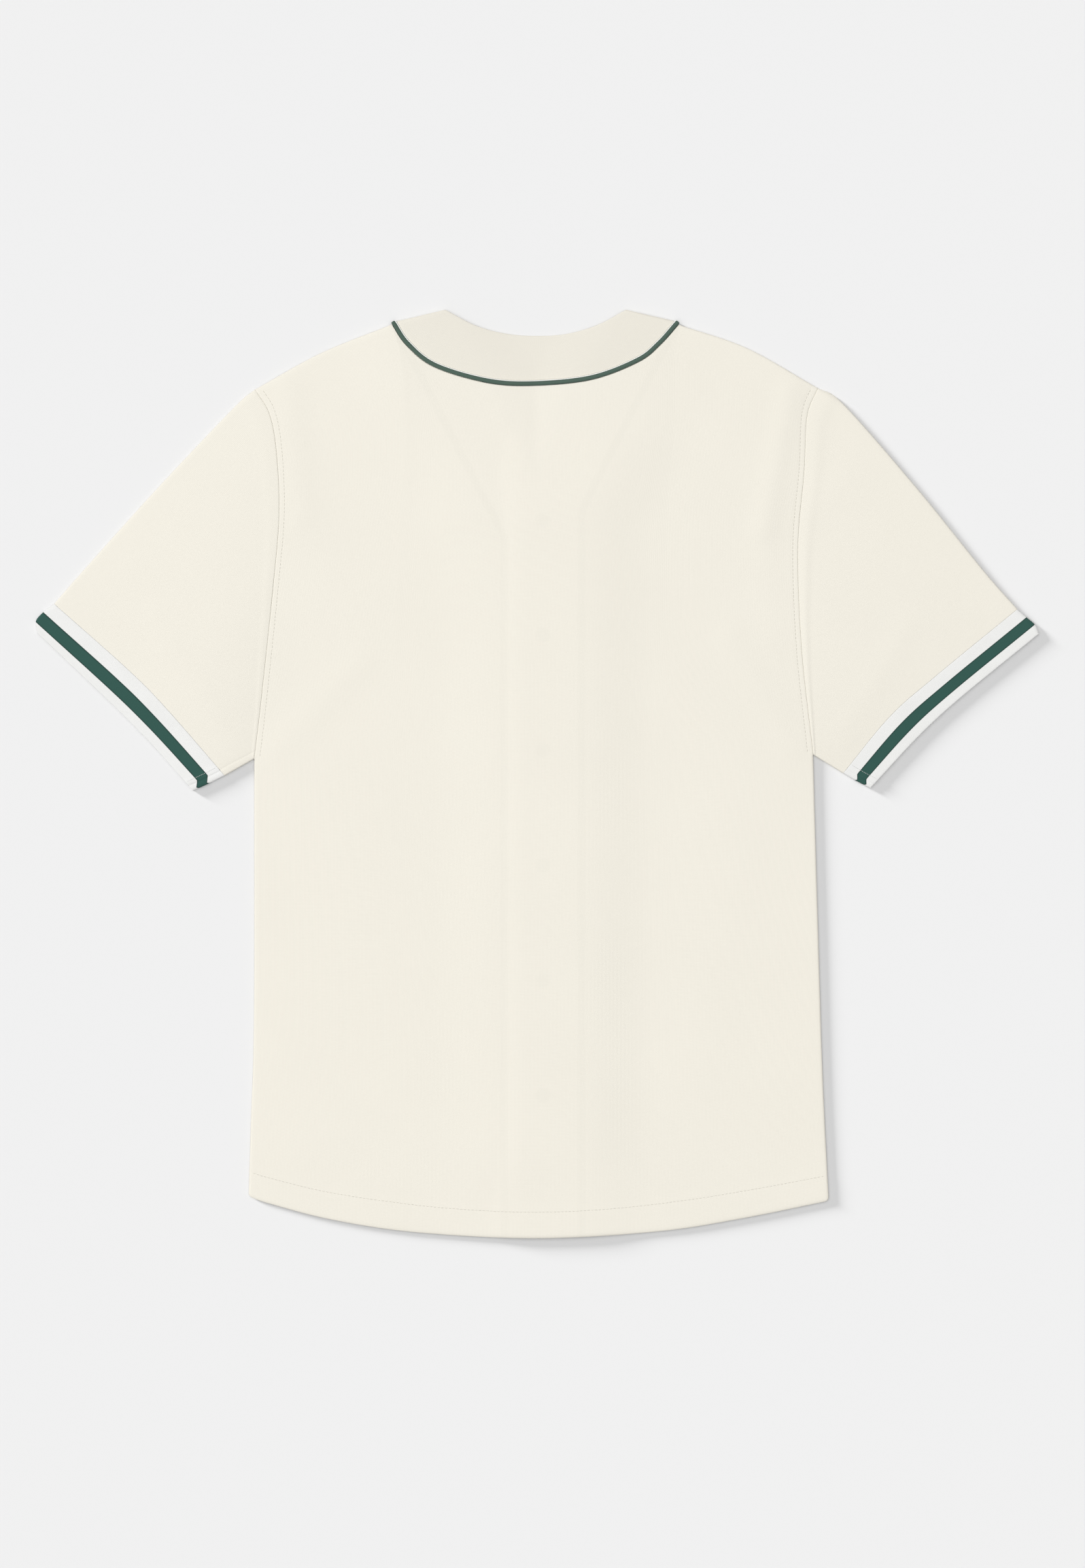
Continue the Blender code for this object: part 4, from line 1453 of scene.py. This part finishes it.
def make_buttonholes():
    """A slit between two close rows of stitches for each button, in the band that lies lowest."""
    length = settings().buttonhole_length / MM
    pitch = 0.42
    count = int(length / pitch)
    mesh = new_sewing()
    for number in range(1, BUTTON_COUNT + 1):
        height = front_height("left", PLACKET_X, button_y(number)) + FACE_LIFT - 0.05
        low = button_y(number) - length / 2
        for step in range(count):
            for x in (-0.95, 0.95):
                centre = Vector((PLACKET_X + x, low + (step + 0.5) * pitch, height))
                stitch(mesh, centre, Vector((1.0, 0.0, 0.0)), 1.5, pitch)
        for end in (low - 0.5, low - 0.1, low + length + 0.1, low + length + 0.5):
            stitch(mesh, Vector((PLACKET_X, end, height)), Vector((1.0, 0.0, 0.0)), 3.4, pitch * 1.1)
    finished("sewing_buttonholes", mesh, "cream_thread")


# Stage

CAMERA_CENTRE = (4.2, -8.2)
PHOTO_HEIGHT = 1302.0
LENS = 85.0
SENSOR = 36.0
FLOOR_SIZE = 8.0
FLOOR_TONE = 0.785
KEY_FROM = (-6.4, 2.2, 9.3)
KEY_SIZE = 3.6
LOW_KEY_FROM = (-0.848, 0.53, 0.165)
LOW_KEY_ANGLE = 0.16
FILL_FROM = (-0.15, 0.15, 1.0)
FILL_ANGLE = 1.6


def light_only(lamp, things):
    """The lamp lights these things alone."""
    group = bpy.data.collections.new(f"lit by {lamp.name}")
    for thing in things:
        group.objects.link(thing)
    lamp.light_linking.receiver_collection = group


def new_lamp(name, kind, strength, towards):
    """A lamp that shines from a place towards the garment."""
    light = bpy.data.lights.new(name, kind)
    light.energy = strength
    lamp = bpy.data.objects.new(name, light)
    lamp.location = towards
    lamp.rotation_euler = Vector(towards).to_track_quat("Z", "Y").to_euler()
    bpy.context.scene.collection.objects.link(lamp)
    return lamp


def make_floor():
    mesh = bmesh.new()
    bmesh.ops.create_grid(mesh, x_segments=4, y_segments=4, size=FLOOR_SIZE / 2)
    data = bpy.data.meshes.new("floor")
    mesh.to_mesh(data)
    mesh.free()
    made, _, shader = new_material("pale_floor", 0.95)
    shader.inputs["Specular IOR Level"].default_value = 0.0
    shader.inputs["Base Color"].default_value = (FLOOR_TONE, FLOOR_TONE, FLOOR_TONE, 1.0)
    data.materials.append(made)
    floor = bpy.data.objects.new("floor", data)
    bpy.context.scene.collection.objects.link(floor)
    floor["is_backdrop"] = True
    return floor


def make_camera():
    data = bpy.data.cameras.new("camera")
    data.lens = LENS
    data.sensor_width = SENSOR
    camera = bpy.data.objects.new("camera", data)
    height = PHOTO_HEIGHT * LENS / SENSOR
    camera.location = Vector((*CAMERA_CENTRE, height)) * MM
    bpy.context.scene.collection.objects.link(camera)
    bpy.context.scene.camera = camera


def make_lights(floor):
    """A soft key from the upper left, a lower one for the floor's long shadow, and even light from above."""
    now = settings()
    key = new_lamp("key", "AREA", now.key_strength, KEY_FROM)
    key.data.shape = "DISK"
    key.data.size = KEY_SIZE
    light_only(key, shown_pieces())
    low = new_lamp("low_key", "SUN", now.low_key_strength, LOW_KEY_FROM)
    low.data.angle = LOW_KEY_ANGLE
    light_only(low, [floor])
    fill = new_lamp("fill", "SUN", now.fill_strength, FILL_FROM)
    fill.data.angle = FILL_ANGLE
    world = bpy.data.worlds.new("studio")
    world.use_nodes = True
    background = world.node_tree.nodes["Background"]
    background.inputs["Color"].default_value = (1.0, 1.0, 1.0, 1.0)
    background.inputs["Strength"].default_value = now.sky_strength
    bpy.context.scene.world = world
    bpy.context.scene.view_settings.view_transform = "Standard"


class JERSEY_OT_stage(bpy.types.Operator):
    """Make the floor, the lights and the camera."""

    bl_idname = "jersey.stage"
    bl_label = "Stage"

    def execute(self, context):
        make_lights(make_floor())
        make_camera()
        return {"FINISHED"}


class JERSEY_OT_back(bpy.types.Operator):
    """Make the back with its turned hem."""

    bl_idname = "jersey.back"
    bl_label = "Back"

    def execute(self, context):
        make_back()
        return {"FINISHED"}


class JERSEY_OT_neck_band(bpy.types.Operator):
    """Make the band round the back of the neck."""

    bl_idname = "jersey.neck_band"
    bl_label = "Neck band"

    def execute(self, context):
        make_neck_band()
        return {"FINISHED"}


class JERSEY_OT_fronts(bpy.types.Operator):
    """Make the fronts and their bands."""

    bl_idname = "jersey.fronts"
    bl_label = "Fronts"

    def execute(self, context):
        for side in SIDES:
            make_front(side)
            make_front_band(side)
        return {"FINISHED"}


class JERSEY_OT_sleeves(bpy.types.Operator):
    """Make the sleeves and the striped tape at their ends."""

    bl_idname = "jersey.sleeves"
    bl_label = "Sleeves"

    def execute(self, context):
        for side in SIDES:
            make_sleeve(side)
            make_tape(side)
        return {"FINISHED"}


class JERSEY_OT_pipings(bpy.types.Operator):
    """Make the corded piping of the band's seams."""

    bl_idname = "jersey.pipings"
    bl_label = "Pipings"

    def execute(self, context):
        make_pipings()
        return {"FINISHED"}


class JERSEY_OT_buttons(bpy.types.Operator):
    """Make the six buttons."""

    bl_idname = "jersey.buttons"
    bl_label = "Buttons"

    def execute(self, context):
        for number in range(1, BUTTON_COUNT + 1):
            make_button(number)
        return {"FINISHED"}


class JERSEY_OT_sewing(bpy.types.Operator):
    """Make the rows of stitches."""

    bl_idname = "jersey.sewing"
    bl_label = "Sewing"

    def execute(self, context):
        make_back_sewing()
        make_tape_sewing()
        make_front_sewing()
        make_button_sewing()
        make_buttonholes()
        return {"FINISHED"}


OPERATORS = (
    JERSEY_OT_back,
    JERSEY_OT_neck_band,
    JERSEY_OT_fronts,
    JERSEY_OT_sleeves,
    JERSEY_OT_pipings,
    JERSEY_OT_buttons,
    JERSEY_OT_sewing,
    JERSEY_OT_stage,
)


class JERSEY_PT_panel(bpy.types.Panel):
    """Lists the pieces in the sidebar."""

    bl_label = "Jersey"
    bl_idname = "JERSEY_PT_panel"
    bl_space_type = "VIEW_3D"
    bl_region_type = "UI"
    bl_category = "Jersey"

    def draw(self, context):
        for name in JerseySettings.__annotations__:
            self.layout.prop(context.scene.jersey, name)
        for operator in OPERATORS:
            self.layout.operator(operator.bl_idname)


CLASSES = (JerseySettings, *OPERATORS, JERSEY_PT_panel)


def register():
    for each in CLASSES:
        bpy.utils.register_class(each)
    bpy.types.Scene.jersey = PointerProperty(type=JerseySettings)


def unregister():
    del bpy.types.Scene.jersey
    for each in reversed(CLASSES):
        bpy.utils.unregister_class(each)


def main():
    register()
    for operator in OPERATORS:
        group, name = operator.bl_idname.split(".")
        getattr(getattr(bpy.ops, group), name)()


if __name__ == "__main__":
    main()
